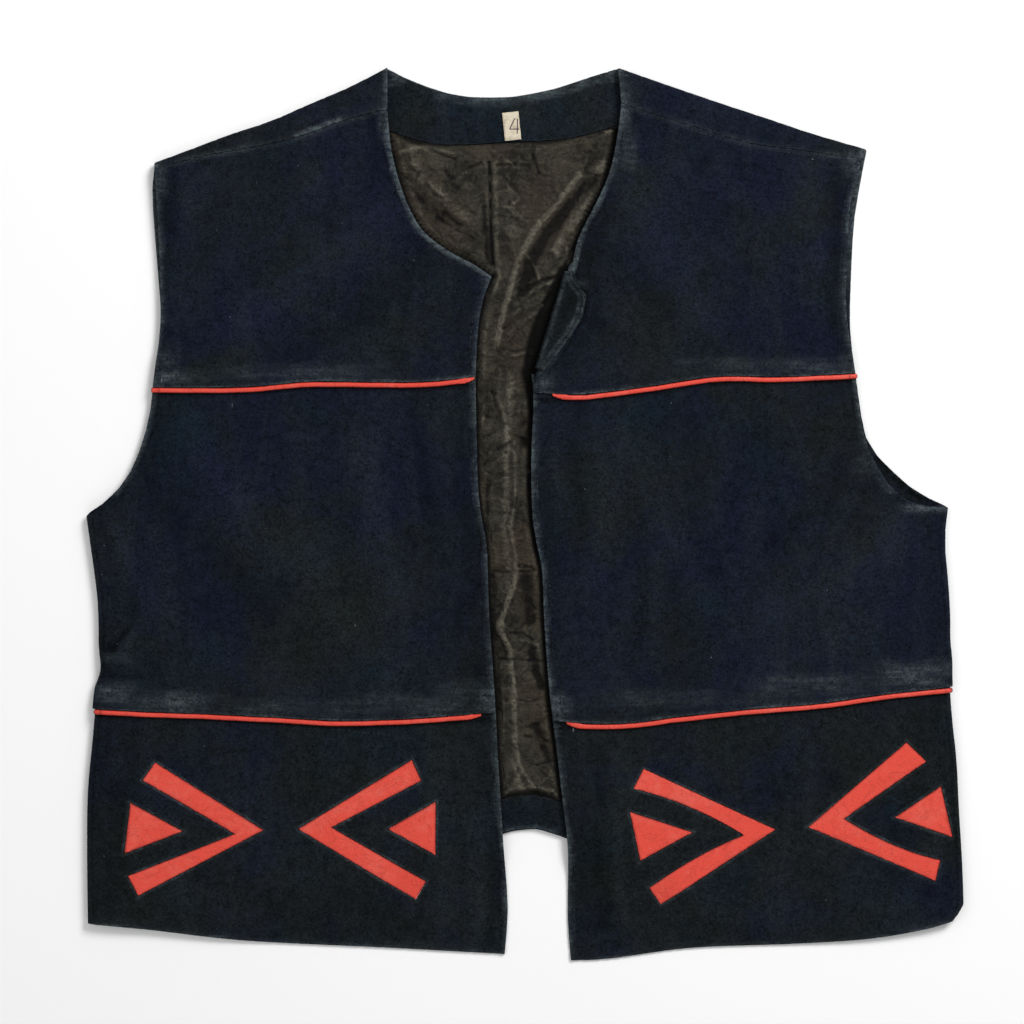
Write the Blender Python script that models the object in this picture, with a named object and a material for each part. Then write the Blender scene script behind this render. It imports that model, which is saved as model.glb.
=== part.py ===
"""A suede vest, laid flat with its open front up.

Sizes are in millimetres until a mesh is made. Across runs from the centre back towards the
wearer's left, up runs from the middle of the length towards the neck, and lift runs out of the cloth.
"Right" and "left" are the wearer's, so the right front lies on the side of negative x.
"""

import math

import bpy
import numpy as np
from mathutils import Vector
from mathutils.geometry import delaunay_2d_cdt

MM = 0.001

# Thickness of each material, and the gaps that keep pieces apart
SUEDE = 1.4
FACING = 1.2
LINING = 1.0
LEATHER = 1.0
LABEL = 1.0
SEAM_GAP = 0.3
LAP_GAP = 0.5

# How the layers lie: the middle of each wall above the floor
BACK_MID = SUEDE / 2
INSIDE_LIFT = SUEDE / 2 + SEAM_GAP
REST_MID = 4.4
LOWEST_MID = 3.95
FLOOR_MID = SUEDE / 2 + 0.05

# Round turns: the shoulder fold of the back, and the roll at each side seam
SHOULDER_TURN_NECK = 3.3
SHOULDER_TURN_TIP = 2.7
SIDE_TURN = 2.8
SIDE_TURN_EXTRA = (math.pi / 2 - 1) * SIDE_TURN - SUEDE / 2
BACK_ROLL_ABOVE = 8.0
FRONT_ROLL_ABOVE = 4.0
MIDDLE_OF_NECK = -20.0

# How the fronts fall from the shoulder and the side seam, lift at their edges, and sag past the back's hem
SHOULDER_FREE = 34.0
SHOULDER_FALL = 80.0
SIDE_LEVEL = 5.0
SIDE_FALL = 44.0
ARMPIT_LEVEL = 2.0
ARMPIT_FALL = 46.0
EDGE_LIFT = 0.9
LEFT_EDGE_LIFT = 1.9
LEFT_EDGE_LIFT_FROM = -40.0
LEFT_EDGE_LIFT_OVER = 80.0
EDGE_LEVEL = 2.0
EDGE_FALL = {True: 26.0, False: 38.0}
HEM_LEVEL = 2.5
HEM_SAG = 26.0

# Lapped seams between the tiers, and the piping under each
LAP = 12.0
LAP_LEVEL = 2.0
LAP_BLEND = 18.0
PIPING_WIDTH = 3.9
PIPING_THICK = 1.6
PIPING_POINT = 0.3
PIPING_NEAR_POINT = (2.5, 5.0)
PIPING_NEAR_SIDE = (4.6, 2.6, 1.2)

# Mesh sizes: along edges, inside a panel, and along lines that are worked out
EDGE_STEP = 14.0
NECK_FACING_STEP = 9.8
LINING_EDGE_STEP = 16.8
PIPING_STEP = 11.2
LABEL_STEP = 6.0
FRONT_STEP = 24.0
BACK_STEP = 45.0
LINING_STEP = 12.0
LINE_POINTS = 40
HEM_POINTS = 70
FOLD_POINTS = 12
FOLD_ROWS = 5
SIDE_ROWS = 3
FARTHEST = 290.0
SNAP = 0.02
END_SHARE = 0.3


def table(columns, *rows):
    """Rows of numbers as dictionaries with named columns."""
    names = columns.split()
    return [dict(zip(names, row)) for row in rows]


RIGHT_FRONT = {
    "shoulder": table(
        "across up", (-88, 259), (-117, 251.5), (-148, 240.5), (-181, 233.5), (-207, 229), (-237, 220.5)
    ),
    "armhole": table(
        "across up", (-237, 220.5), (-235, 188), (-233.5, 150), (-233.5, 118), (-237.5, 88),
        (-241, 60), (-251, 30), (-264, 12), (-281, -1),
    ),
    "side": table(
        "across up", (-281, -1), (-277, -29), (-273.5, -58), (-273, -87), (-271, -101), (-274, -112),
        (-277, -145), (-280, -177), (-280.5, -215), (-280, -262),
    ),
    "hem": table("across up", (-280, -262), (-240, -266), (-176, -273.5), (-86, -278), (-13, -282)),
    "edge": table(
        "across up", (-13, -282), (-11, -252), (-14, -209), (-17.5, -151), (-19.5, -113), (-23, -63),
        (-24.5, -20), (-29.5, 9), (-31, 54), (-31.5, 89), (-29.5, 124), (-25.5, 142), (-21.5, 152),
    ),
    "neck": table(
        "across up", (-21.5, 152), (-29, 158), (-50, 169), (-67, 183), (-77, 203), (-82.5, 220),
        (-86, 236), (-88, 259),
    ),
}
LEFT_FRONT = {
    "shoulder": table(
        "across up", (61.5, 263), (79, 257), (108, 248), (138, 238.5), (158, 235), (179, 232.5), (216, 227)
    ),
    "armhole": table(
        "across up", (216, 227), (208.5, 201), (206, 160), (205.5, 130), (209.5, 102), (212.5, 82),
        (215, 60), (220, 42), (230.5, 22), (242, 10), (254, 5.5), (271, 4.5),
    ),
    "side": table(
        "across up", (271, 4.5), (269, -17), (271, -42), (272.5, -68), (272, -106), (274, -135),
        (276.5, -158), (278, -190), (280, -222), (281, -250),
    ),
    "hem": table(
        "across up", (281, -250), (276, -259), (259, -265), (221, -272), (170, -275.5), (106, -278),
        (54, -285), (29.5, -286),
    ),
    "edge": table(
        "across up", (29.5, -286), (27.5, -260), (27.5, -215), (24, -183), (19, -141), (15.5, -113),
        (12, -63), (11, -36), (5, -4), (4, 38), (5.5, 73), (3.5, 96), (2, 118), (2.5, 136), (8, 149),
    ),
    "neck": table(
        "across up", (8, 149), (19, 152), (27, 156), (30.5, 161), (32, 170), (35, 179), (42.5, 193.5),
        (48.5, 205), (54.5, 220), (58, 236), (60.5, 252), (61.5, 263),
    ),
}
BACK = {
    "right_fold": table(
        "across up", (-237.5, 224.5), (-214, 233), (-189, 242.5), (-163, 251), (-138, 262), (-112, 273),
        (-88, 285.5), (-60, 300),
    ),
    "left_fold": table(
        "across up", (35, 295), (59, 285.5), (80, 278), (106, 269), (131, 260.5), (157, 252), (182, 243.5),
        (208, 236), (219, 233),
    ),
    "neck": table(
        "across up", (-88, 285.5), (-74, 278.5), (-61, 273.5), (-48, 269.5), (-35, 267.5), (-10, 267.5),
        (3, 269.5), (16, 272), (29, 276), (42, 280.5), (59, 285.5),
    ),
    "right_armhole": table(
        "across up", (-237.5, 224.5), (-239, 208), (-238, 188), (-235, 150), (-233, 118), (-236.5, 88),
        (-239.5, 60), (-250, 29), (-264, 10.5), (-281, -1),
    ),
    "left_armhole": table(
        "across up", (219, 233), (215, 212), (211, 187), (209, 150), (208.5, 118), (212, 90), (217, 56),
        (223, 41), (239, 24.5), (252, 14), (271, 4.5),
    ),
    "hem": table(
        "across up", (-280, -261.5), (-220, -259), (-160, -250), (-100, -232), (-50, -213), (-22, -206.5),
        (-9, -204.5), (-3, -201), (6, -201.5), (14, -203.5), (27, -208), (60, -221), (110, -238),
        (170, -251), (230, -257), (262, -255), (281, -250),
    ),
    "lining_top": table(
        "across up", (-97, 250), (-80, 243.5), (-61, 238), (-42, 237), (-16, 238.5), (10, 239.5),
        (29, 241.5), (48, 246), (68, 253),
    ),
}
NECK_FACING_ENDS = (-97.0, 68.0)
HEM_FACING_ENDS = (-266.0, 267.0)
HEM_FACING_DEPTH = 22.0
FACING_SHY = 0.8
FACING_BELOW_TURN = 3.0
LINING_INSET = 8.0
LINING_GAP = 0.7
LINING_BELOW_FOLD = 12.0
LINING_CORNER = 3.0
LINING_RIM_STEP = 4.0
LINING_RIM_FADE = 9.0
SHOULDER_ROW_ENDS = ((-240.0, -87.0), (60.0, 221.0))

# Seam lines of the tiers: the upper tier ends here, on top of the next one
RIGHT_TIERS = (
    table("across up", (-245, 81.5), (-205, 81), (-170, 82), (-137, 85), (-95, 84.5), (-60, 85), (-26, 88.5)),
    table(
        "across up", (-285, -124), (-234, -126.5), (-195, -128), (-157, -130), (-118, -132), (-80, -131),
        (-42, -128.5), (-10, -126),
    ),
)
LEFT_TIERS = (
    table(
        "across up", (0, 78), (17, 77), (35, 76.5), (54, 78.5), (74, 81), (93, 84), (112, 87), (131, 88.5),
        (160, 88), (189, 89), (222, 91),
    ),
    table(
        "across up", (10, -131), (35, -133.5), (54, -134), (74, -133), (93, -130), (112, -128), (150, -124),
        (189, -121), (227, -115.5), (285, -109),
    ),
)
# Each run of piping: where it starts at the front edge, tapered, and where it ends at the side
PIPING_RUNS = table(
    "right tier inner outer taper", (1, 0, -31.8, -239.0, 9.0), (1, 1, -27.5, -274.6, 11.0),
    (0, 0, 17.0, 212.5, 10.0), (0, 1, 26.0, 272.9, 10.0),
)

# Soft ridges and troughs that the fronts lie in. Past its ends, a ridge fades at this share of the rate.
RIDGE_SQUASH = 0.8
RIGHT_FOLDS = table(
    "across up to_across to_up width height",
    (-232, -42, -276, -86, 11, 1.5), (-222, -62, -272, -104, 6, -0.5), (-224, 24, -176, -60, 20, 0.8),
    (-60, 48, -62, -34, 13, -0.45), (-170, 190, -70, 120, 34, 0.9), (-150, 10, -60, -90, 30, 0.8),
    (-72, -232, -42, -278, 9, -0.4), (-250, -170, -190, -250, 26, 0.7), (-205, 60, -120, 40, 16, 0.5),
)
LEFT_FOLDS = table(
    "across up to_across to_up width height", (76, -30, 73, -84, 9, -0.45), (62, 214, 116, 120, 30, 0.9),
    (244, -14, 160, -60, 22, 0.8), (60, 50, 130, -80, 34, 0.8), (150, 180, 190, 100, 24, 0.6),
    (60, -230, 140, -262, 18, 0.6), (255, -140, 225, -240, 20, 0.7),
)
# The largest wrinkles of the lining, where it shows in the neck and between the fronts
LINING_FOLDS = table(
    "across up to_across to_up width height", (54, 240, 34, 200, 7, 2.2), (36, 206, 12, 168, 8, 2.2),
    (14, 174, -6, 124, 7, 2.2), (-16, 226, -20, 168, 9, 1.4), (-78, 232, -46, 228, 5, 1.5),
    (-80, 214, -52, 202, 6, 1.2), (-40, 222, -24, 226, 5, 1.2), (-58, 196, -30, 178, 8, 1.0),
    (-4, 132, 20, 140, 5, 1.8), (-8, 116, 18, 119, 5, 1.4), (-14, 96, -11, 10, 7, 1.8),
    (-11, 16, -12, -70, 7, 1.7), (-12, -62, -9, -172, 6, 1.8), (6, 224, 30, 230, 6, 1.2),
)
LINING_SHOWS = table(
    "across up", (-84, 238), (60, 244), (52, 205), (36, 172), (8, 140), (6, 60), (12, -60), (24, -180),
    (-14, -180), (-22, -60), (-29, 40), (-30, 120), (-40, 160), (-72, 192),
)

# The turned-out corner of the left front: the line where the turn starts, and its radius
TURN_START = (31.0, 160.0)
TURN_END = (8.5, 86.0)
TURN_RADIUS = 1.6
TURN_SPRING = 0.10
TURN_STEP = 6.0
TURN_ROWS = [math.pi * TURN_RADIUS * row / 8 for row in range(9)]
TURN_TOP = 162.0
TURN_GAP = 0.7
TURNED_FACING_START = TURN_RADIUS * math.pi / 2
TURNED_FACING_ENDS = (1.0, 75.0)
TURNED_FACING_SHY = 0.6
TURNED_FACING_STEP = 5.0
TURNED_FACING_LEAST = 2.0
DEPTH_STEP = 0.25

# The inlaid motifs, each cut by hand: the chevron's point, then its other corners and the triangle's,
# as distances out from that point and up. The bows curve the inner edges of the chevron's arms.
MOTIFS = table(
    "right opens across up upper_outer upper_inner notch lower_inner lower_outer tip high low upper_bow "
    "lower_bow",
    (1, -1, -166.8, -202.2, (69.9, 43.7), (78.4, 31.9), (19.4, -2.4), (87.7, -29.2), (80.8, -42.3),
     (51.6, -0.7), (85.9, 18.0), (89.8, -15.3), 0.0, 0.0),
    (1, 1, -145.6, -201.5, (73.3, 44.6), (79.6, 30.8), (22.2, 1.1), (82.6, -33.6), (75.7, -45.8),
     (57.3, 0.0), (88.8, 18.0), (88.6, -17.1), 0.0, 0.0),
    (0, -1, 161.0, -201.7, (85.2, 39.2), (91.9, 26.0), (21.1, -3.6), (81.8, -37.5), (74.1, -48.7),
     (53.0, -1.8), (94.2, 11.7), (87.4, -20.5), 3.2, 2.6),
    (0, 1, 180.9, -200.3, (63.3, 54.7), (76.3, 42.2), (23.8, 5.4), (85.0, -20.8), (81.8, -34.6),
     (55.4, 6.3), (85.3, 26.7), (92.9, -6.6), 0.0, -3.2),
)
WINDOW_STEP = 15.0

LABEL_CENTRE = (-8.5, 248.6)
LABEL_SIZE = (10.5, 18.0)
LABEL_TILT = 6.0


def smoothstep(value):
    value = np.clip(value, 0.0, 1.0)
    return value * value * (3.0 - 2.0 * value)


def fine_line(rows):
    """A smooth curve through the rows, as closely spaced points."""
    knots = np.array([[row["across"], row["up"]] for row in rows], float)
    ends = np.vstack([2 * knots[0] - knots[1], knots, 2 * knots[-1] - knots[-2]])
    found = []
    for before, start, end, after in zip(ends, ends[1:], ends[2:], ends[3:]):
        for t in np.linspace(0, 1, 12, endpoint=False):
            found.append(
                0.5 * (2 * start + (end - before) * t + (2 * before - 5 * start + 4 * end - after) * t**2
                       + (3 * start - before - 3 * end + after) * t**3)
            )
    found.append(knots[-1])
    return np.array(found)


def spaced(line, step):
    """The same line with points about a step apart, both ends kept."""
    along = np.concatenate([[0], np.cumsum(np.linalg.norm(np.diff(line, axis=0), axis=1))])
    at = np.linspace(0, along[-1], max(2, int(round(along[-1] / step)) + 1))
    return np.stack([np.interp(at, along, line[:, 0]), np.interp(at, along, line[:, 1])], axis=1)


def level(rows):
    """The height of a line that runs across, as a function of across."""
    line = fine_line(rows)
    line = line[np.argsort(line[:, 0])]
    return lambda across: np.interp(across, line[:, 0], line[:, 1])


def reach(rows):
    """The across of a line that runs up and down, as a function of up."""
    line = fine_line(rows)
    line = line[np.argsort(line[:, 1])]
    return lambda up: np.interp(up, line[:, 1], line[:, 0])


def inside(point, outline):
    """Whether a point lies in a closed outline, by counting the edges to its right."""
    x, y = point
    x0, y0 = outline[:, 0], outline[:, 1]
    x1, y1 = np.roll(x0, -1), np.roll(y0, -1)
    crosses = (y0 > y) != (y1 > y)
    at = x0 + (y - y0) * (x1 - x0) / np.where(y1 == y0, 1.0, y1 - y0)
    return bool(np.count_nonzero(crosses & (x < at)) % 2)


def ridges(folds, across, up):
    """The height that soft ridges and troughs add at a point."""
    total = 0.0
    for fold in folds:
        start = np.array([fold["across"], fold["up"]])
        run = np.array([fold["to_across"], fold["to_up"]]) - start
        point = np.array([across, up]) - start
        share = float(np.dot(point, run) / np.dot(run, run))
        away = abs(run[0] * point[1] - run[1] * point[0]) / np.linalg.norm(run)
        beyond = max(0.0, -share, share - 1.0) * np.linalg.norm(run)
        spread = math.hypot(away, beyond * RIDGE_SQUASH)
        total += fold["height"] * math.exp(-((spread / fold["width"]) ** 2))
    return total


right_fold_up = level(BACK["right_fold"])
left_fold_up = level(BACK["left_fold"])
back_hem_up = level(BACK["hem"])
side_lines = {True: reach(RIGHT_FRONT["side"]), False: reach(LEFT_FRONT["side"])}
opening_lines = {
    True: reach(RIGHT_FRONT["edge"] + RIGHT_FRONT["neck"][1:]),
    False: reach(LEFT_FRONT["edge"] + LEFT_FRONT["neck"][1:]),
}
shoulder_lines = {True: level(RIGHT_FRONT["shoulder"]), False: level(LEFT_FRONT["shoulder"])}
tier_lines = {
    True: [level(rows) for rows in RIGHT_TIERS],
    False: [level(rows) for rows in LEFT_TIERS],
}
ARMPIT = {True: RIGHT_FRONT["side"][0]["up"], False: LEFT_FRONT["side"][0]["up"]}


def shoulder_turn(across):
    """The radius of the shoulder fold, which is fuller near the neck."""
    right = across < MIDDLE_OF_NECK
    neck = BACK["neck"][0 if right else -1]["across"]
    tip = (RIGHT_FRONT if right else LEFT_FRONT)["shoulder"][-1]["across"]
    share = np.clip((across - neck) / (tip - neck), 0.0, 1.0)
    return SHOULDER_TURN_NECK + (SHOULDER_TURN_TIP - SHOULDER_TURN_NECK) * share


def fold_up(across):
    """The height of the shoulder fold, which lies above the neck opening between the shoulders."""
    if across < MIDDLE_OF_NECK:
        return float(right_fold_up(across))
    return float(left_fold_up(across))


def roll(across, up, lift, right, upwards):
    """A side seam's roll: (across, rise) for a point near the seam, or None further in.

    upwards is 1 for the back, which rolls up to the seam, and -1 for the front, which rolls down.
    """
    outward = -1 if right else 1
    side = float(side_lines[right](min(up, ARMPIT[right])))
    inward = (side - across) * outward + SIDE_TURN_EXTRA
    if inward >= SIDE_TURN * math.pi / 2:
        return None
    angle = max(inward, 0.0) / SIDE_TURN
    radius = SIDE_TURN - lift * upwards
    centre = side - outward * (SUEDE / 2 + SIDE_TURN)
    return centre + outward * radius * math.cos(angle), radius * math.sin(angle)


def back_point(across, up, lift):
    """A point of the back, with its shoulder fold and its rolled side seams. Lift runs to its inside."""
    right = across < 0
    turn = shoulder_turn(across)
    bend = up - (fold_up(across) - turn)
    if bend > 0:
        start = fold_up(across) - turn
        if bend < math.pi * turn:
            angle = bend / turn
            rise = turn - (turn - lift) * math.cos(angle)
            return across, start + (turn - lift) * math.sin(angle), BACK_MID + rise
        return across, start - (bend - math.pi * turn), BACK_MID + 2 * turn - lift
    if up < ARMPIT[right] + BACK_ROLL_ABOVE:
        rolled = roll(across, up, lift, right, 1)
        if rolled:
            return rolled[0], up, BACK_MID + SIDE_TURN - rolled[1]
    return across, up, BACK_MID + lift


def front_height(across, up, right):
    """The middle of a front's wall above the floor, before a lap lifts it."""
    under_shoulder = float(shoulder_lines[right](across)) - up
    at_shoulder = BACK_MID + 2 * shoulder_turn(across)
    free = smoothstep(under_shoulder / SHOULDER_FREE)
    from_side = abs(float(side_lines[right](min(up, ARMPIT[right]))) - across)
    below_armpit = 1 - smoothstep((up - ARMPIT[right] - ARMPIT_LEVEL) / ARMPIT_FALL)
    side_fade = below_armpit * (1 - smoothstep((from_side - SIDE_LEVEL) / SIDE_FALL))
    at_side = BACK_MID + 2 * SIDE_TURN
    from_edge = abs(float(opening_lines[right](up)) - across)
    edge_lift = EDGE_LIFT
    if not right:
        edge_lift += LEFT_EDGE_LIFT * smoothstep((up - LEFT_EDGE_LIFT_FROM) / LEFT_EDGE_LIFT_OVER)
    edge_fade = 1 - smoothstep((from_edge - EDGE_LEVEL) / EDGE_FALL[right])
    folds = RIGHT_FOLDS if right else LEFT_FOLDS
    height = REST_MID + free * (1 - side_fade) * (ridges(folds, across, up) + edge_lift * edge_fade)
    height += (at_shoulder - REST_MID) * (1 - smoothstep(under_shoulder / SHOULDER_FALL))
    height += (at_side - REST_MID) * side_fade
    height = max(height, LOWEST_MID)
    past_hem = float(back_hem_up(across)) - up
    sag = smoothstep((past_hem - HEM_LEVEL) / HEM_SAG)
    return float(height + (FLOOR_MID - height) * sag)


def lap_rise(across, up, right, tier):
    """How far a tier is lifted where it laps over the next one."""
    if tier == 2:
        return 0.0
    over = up - float(tier_lines[right][tier](across)) - LAP - LAP_LEVEL
    return (SUEDE + LAP_GAP) * float(1 - smoothstep(over / LAP_BLEND))


def front_point(across, up, lift, right, tier):
    """A point of a front panel. Lift runs to its outside."""
    lift = lift + lap_rise(across, up, right, tier)
    height = front_height(across, up, right)
    if up < ARMPIT[right] + FRONT_ROLL_ABOVE:
        rolled = roll(across, up, lift, right, -1)
        if rolled:
            return rolled[0], up, BACK_MID + SIDE_TURN + rolled[1]
    return across, up, height + lift


def turn_frame():
    """The line of the turned-out corner: where it starts, and the directions along and into the front."""
    start, end = np.array(TURN_START), np.array(TURN_END)
    run = (end - start) / np.linalg.norm(end - start)
    return start, run, np.array([-run[1], run[0]])


def past_turn(point):
    """How far a point of the cut lies beyond the line of the turned-out corner."""
    start, _, inwards = turn_frame()
    return 0.0 if point[1] > TURN_TOP else -float(np.dot(point - start, inwards))


def turned_point(across, up, lift):
    """A point of the left front's yoke, whose top corner is turned out over itself."""
    inwards = turn_frame()[2]
    point = np.array([across, up])
    past = past_turn(point)
    if past <= 0:
        return front_point(across, up, lift, False, 0)
    hinge = point + inwards * past
    x, y, z = front_point(hinge[0], hinge[1], 0.0, False, 0)
    radius = TURN_RADIUS - lift
    if past < math.pi * TURN_RADIUS:
        angle = past / TURN_RADIUS
        shift = -radius * math.sin(angle)
        return x + inwards[0] * shift, y + inwards[1] * shift, z + TURN_RADIUS - radius * math.cos(angle)
    over = past - math.pi * TURN_RADIUS
    top = z + 2 * TURN_RADIUS - lift + TURN_SPRING * over
    return x + inwards[0] * over, y + inwards[1] * over, top


def lining_point(across, up, lift):
    """A point of the back's lining, with its wrinkles where it shows."""
    x, y, z = back_point(across, up, INSIDE_LIFT + LINING / 2 + lift)
    shows = np.array([[row["across"], row["up"]] for row in LINING_SHOWS], float)
    rise = 0.0
    if inside((across, up), shows):
        rim = spaced(np.vstack([shows, shows[:1]]), LINING_RIM_STEP)
        gap = np.linalg.norm(rim - (across, up), axis=1).min()
        rise = ridges(LINING_FOLDS, across, up) * float(smoothstep(gap / LINING_RIM_FADE))
    return x, y, z + rise


def clipped(outline, border, above, step):
    """The part of a closed outline above or below a line that crosses it twice."""
    kept = (outline[:, 1] > border(outline[:, 0])) == above
    first = next(i for i in range(len(outline)) if kept[i] and not kept[i - 1])
    order = [(first + k) % len(outline) for k in range(len(outline))]
    chain = [i for i in order if kept[i]]

    def crossing(i, j):
        a, b = outline[i], outline[j]
        da, db = a[1] - border(a[0]), b[1] - border(b[0])
        return a + (b - a) * da / (da - db)

    enter = crossing(chain[0] - 1, chain[0])
    leave = crossing(chain[-1], (chain[-1] + 1) % len(outline))
    near = step * END_SHARE
    body = [p for p in outline[chain] if min(np.linalg.norm(p - enter), np.linalg.norm(p - leave)) > near]
    count = max(2, int(round(np.linalg.norm(enter - leave) / step)))
    across = np.linspace(leave[0], enter[0], count + 1)
    seam = np.stack([across, border(across)], axis=1)
    return np.vstack([[enter], body, seam[:-1]])


def chain_edges(edges, step):
    """A closed outline from smooth edges that meet at its corners."""
    return np.vstack([spaced(line, step)[:-1] for line in edges])


def closed_band(lower, upper, step):
    """The outline of a strip between two lines that both run to the right."""
    ends = [np.array([lower[-1], upper[-1]]), np.array([upper[0], lower[0]])]
    return chain_edges([lower, ends[0], upper[::-1], ends[1]], step)


def front_outline(front, right):
    """A whole front's cut, from neck to hem, its side edge let out for the roll and its seams' gaps."""
    outward = np.array([-1.0 if right else 1.0, 0.0])
    lines = {name: fine_line(rows) for name, rows in front.items()}
    lines["shoulder"] = lines["shoulder"] - (0, SEAM_GAP)
    lines["side"] = lines["side"] + outward * (SIDE_TURN_EXTRA - SEAM_GAP / 2)
    names = ["shoulder", "armhole", "side", "hem", "edge", "neck"]
    for name, after in zip(names, names[1:] + names[:1]):
        lines[name][-1] = lines[after][0]
    return chain_edges([lines[name] for name in names], EDGE_STEP)


def back_outline():
    """The back's cut: hem, sides, armholes, the strips that fold over the shoulders, and the neck."""
    left_out = np.array([SIDE_TURN_EXTRA - SEAM_GAP / 2, 0.0])
    right_side = fine_line(RIGHT_FRONT["side"])[::-1] - left_out
    left_side = fine_line(LEFT_FRONT["side"]) + left_out
    right_side[0][1], left_side[-1][1] = BACK["hem"][0]["up"], BACK["hem"][-1]["up"]

    def strip_edge(rows, fold):
        seam = level(rows)
        ends = sorted((rows[0]["across"], rows[-1]["across"]))
        across = np.linspace(*ends, LINE_POINTS)
        turn = np.array([shoulder_turn(x) for x in across])
        up = 2 * fold(across) - 2 * turn + math.pi * turn - seam(across)
        return np.stack([across, up], axis=1)

    right_strip = strip_edge(RIGHT_FRONT["shoulder"], right_fold_up)
    left_strip = strip_edge(LEFT_FRONT["shoulder"], left_fold_up)
    right_armhole = fine_line(BACK["right_armhole"])[::-1]
    left_armhole = fine_line(BACK["left_armhole"])
    right_armhole[0], left_armhole[-1] = right_side[-1], left_side[0]
    neck = fine_line(BACK["neck"])
    hem = fine_line(BACK["hem"])[::-1]
    hem[0], hem[-1] = left_side[-1], right_side[0]
    edges = [
        right_side,
        right_armhole,
        np.array([right_armhole[-1], right_strip[0]]),
        right_strip,
        np.array([right_strip[-1], neck[0]]),
        neck,
        np.array([neck[-1], left_strip[0]]),
        left_strip,
        np.array([left_strip[-1], left_armhole[0]]),
        left_armhole,
        left_side,
        hem,
    ]
    return chain_edges(edges, EDGE_STEP)


def lining_outline():
    """The back lining's cut: inset from the sides and armholes, and between the two facings."""
    top = fine_line(BACK["lining_top"]) - (0, LINING_GAP)
    lowest = BACK["hem"][-1]["up"] + HEM_FACING_DEPTH
    rows = np.linspace(lowest, ARMPIT[True] - LINING_INSET, LINE_POINTS)
    right_side = np.stack([side_lines[True](rows) + LINING_INSET, rows], axis=1)
    left_side = np.stack([side_lines[False](rows) - LINING_INSET, rows], axis=1)
    right_armhole = fine_line(BACK["right_armhole"])[::-1] + (LINING_INSET, -LINING_INSET)
    left_armhole = fine_line(BACK["left_armhole"])[::-1] + (-LINING_INSET, -LINING_INSET)
    right_armhole[0], left_armhole[0] = right_side[-1], left_side[-1]
    across = np.linspace(left_side[0][0], right_side[0][0], HEM_POINTS)
    hem = np.stack([across, back_hem_up(across) + HEM_FACING_DEPTH + LINING_GAP], axis=1)
    left_side[0], right_side[0] = hem[0], hem[-1]

    def under_shoulder(fold, from_across, to_across):
        across = np.linspace(from_across, to_across, LINE_POINTS)
        return np.stack([across, fold(across) - LINING_BELOW_FOLD], axis=1)

    right_top = under_shoulder(right_fold_up, right_armhole[-1][0], top[0][0] - LINING_CORNER)
    left_top = under_shoulder(left_fold_up, top[-1][0] + LINING_CORNER, left_armhole[-1][0])
    right_top[0], left_top[-1] = right_armhole[-1], left_armhole[-1]
    edges = [
        right_side,
        right_armhole,
        right_top,
        np.array([right_top[-1], top[0]]),
        top,
        np.array([top[-1], left_top[0]]),
        left_top,
        left_armhole[::-1],
        left_side[::-1],
        hem,
    ]
    return chain_edges(edges, LINING_EDGE_STEP)


def bowed(start, end, bow):
    """The points of an edge that curves up by the bow at its middle, its end left out."""
    start, end = np.array(start), np.array(end)
    count = max(1, int(round(np.linalg.norm(end - start) / WINDOW_STEP)))
    share = np.arange(count)[:, None] / count
    return start + (end - start) * share + np.array([0.0, bow]) * 4 * share * (1 - share)


def placed(corners, bows, motif):
    """An outline from a motif's corners, moved to its place and turned anticlockwise."""
    edges = zip(corners, corners[1:] + corners[:1], bows)
    shape = np.vstack([bowed(start, end, bow) for start, end, bow in edges])
    shape = shape * (motif["opens"], 1.0) + (motif["across"], motif["up"])
    return shape[::-1] if motif["opens"] < 0 else shape


def chevron(motif):
    corners = [(0.0, 0.0)] + [
        motif[name] for name in ("lower_outer", "lower_inner", "notch", "upper_inner", "upper_outer")
    ]
    return placed(corners, (0.0, 0.0, motif["lower_bow"], motif["upper_bow"], 0.0, 0.0), motif)


def triangle(motif):
    return placed([motif["tip"], motif["low"], motif["high"]], (0.0, 0.0, 0.0), motif)


def inset(shape, distance):
    """A polygon's outline moved inwards, its corners kept."""
    found = []
    for before, corner, after in zip(np.roll(shape, 1, axis=0), shape, np.roll(shape, -1, axis=0)):
        into = (corner - before) / np.linalg.norm(corner - before)
        out = (after - corner) / np.linalg.norm(after - corner)
        sideways = np.array([-into[1] - out[1], into[0] + out[0]])
        found.append(corner + sideways * distance / (1 + float(np.dot(into, out))))
    return np.array(found)


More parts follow.
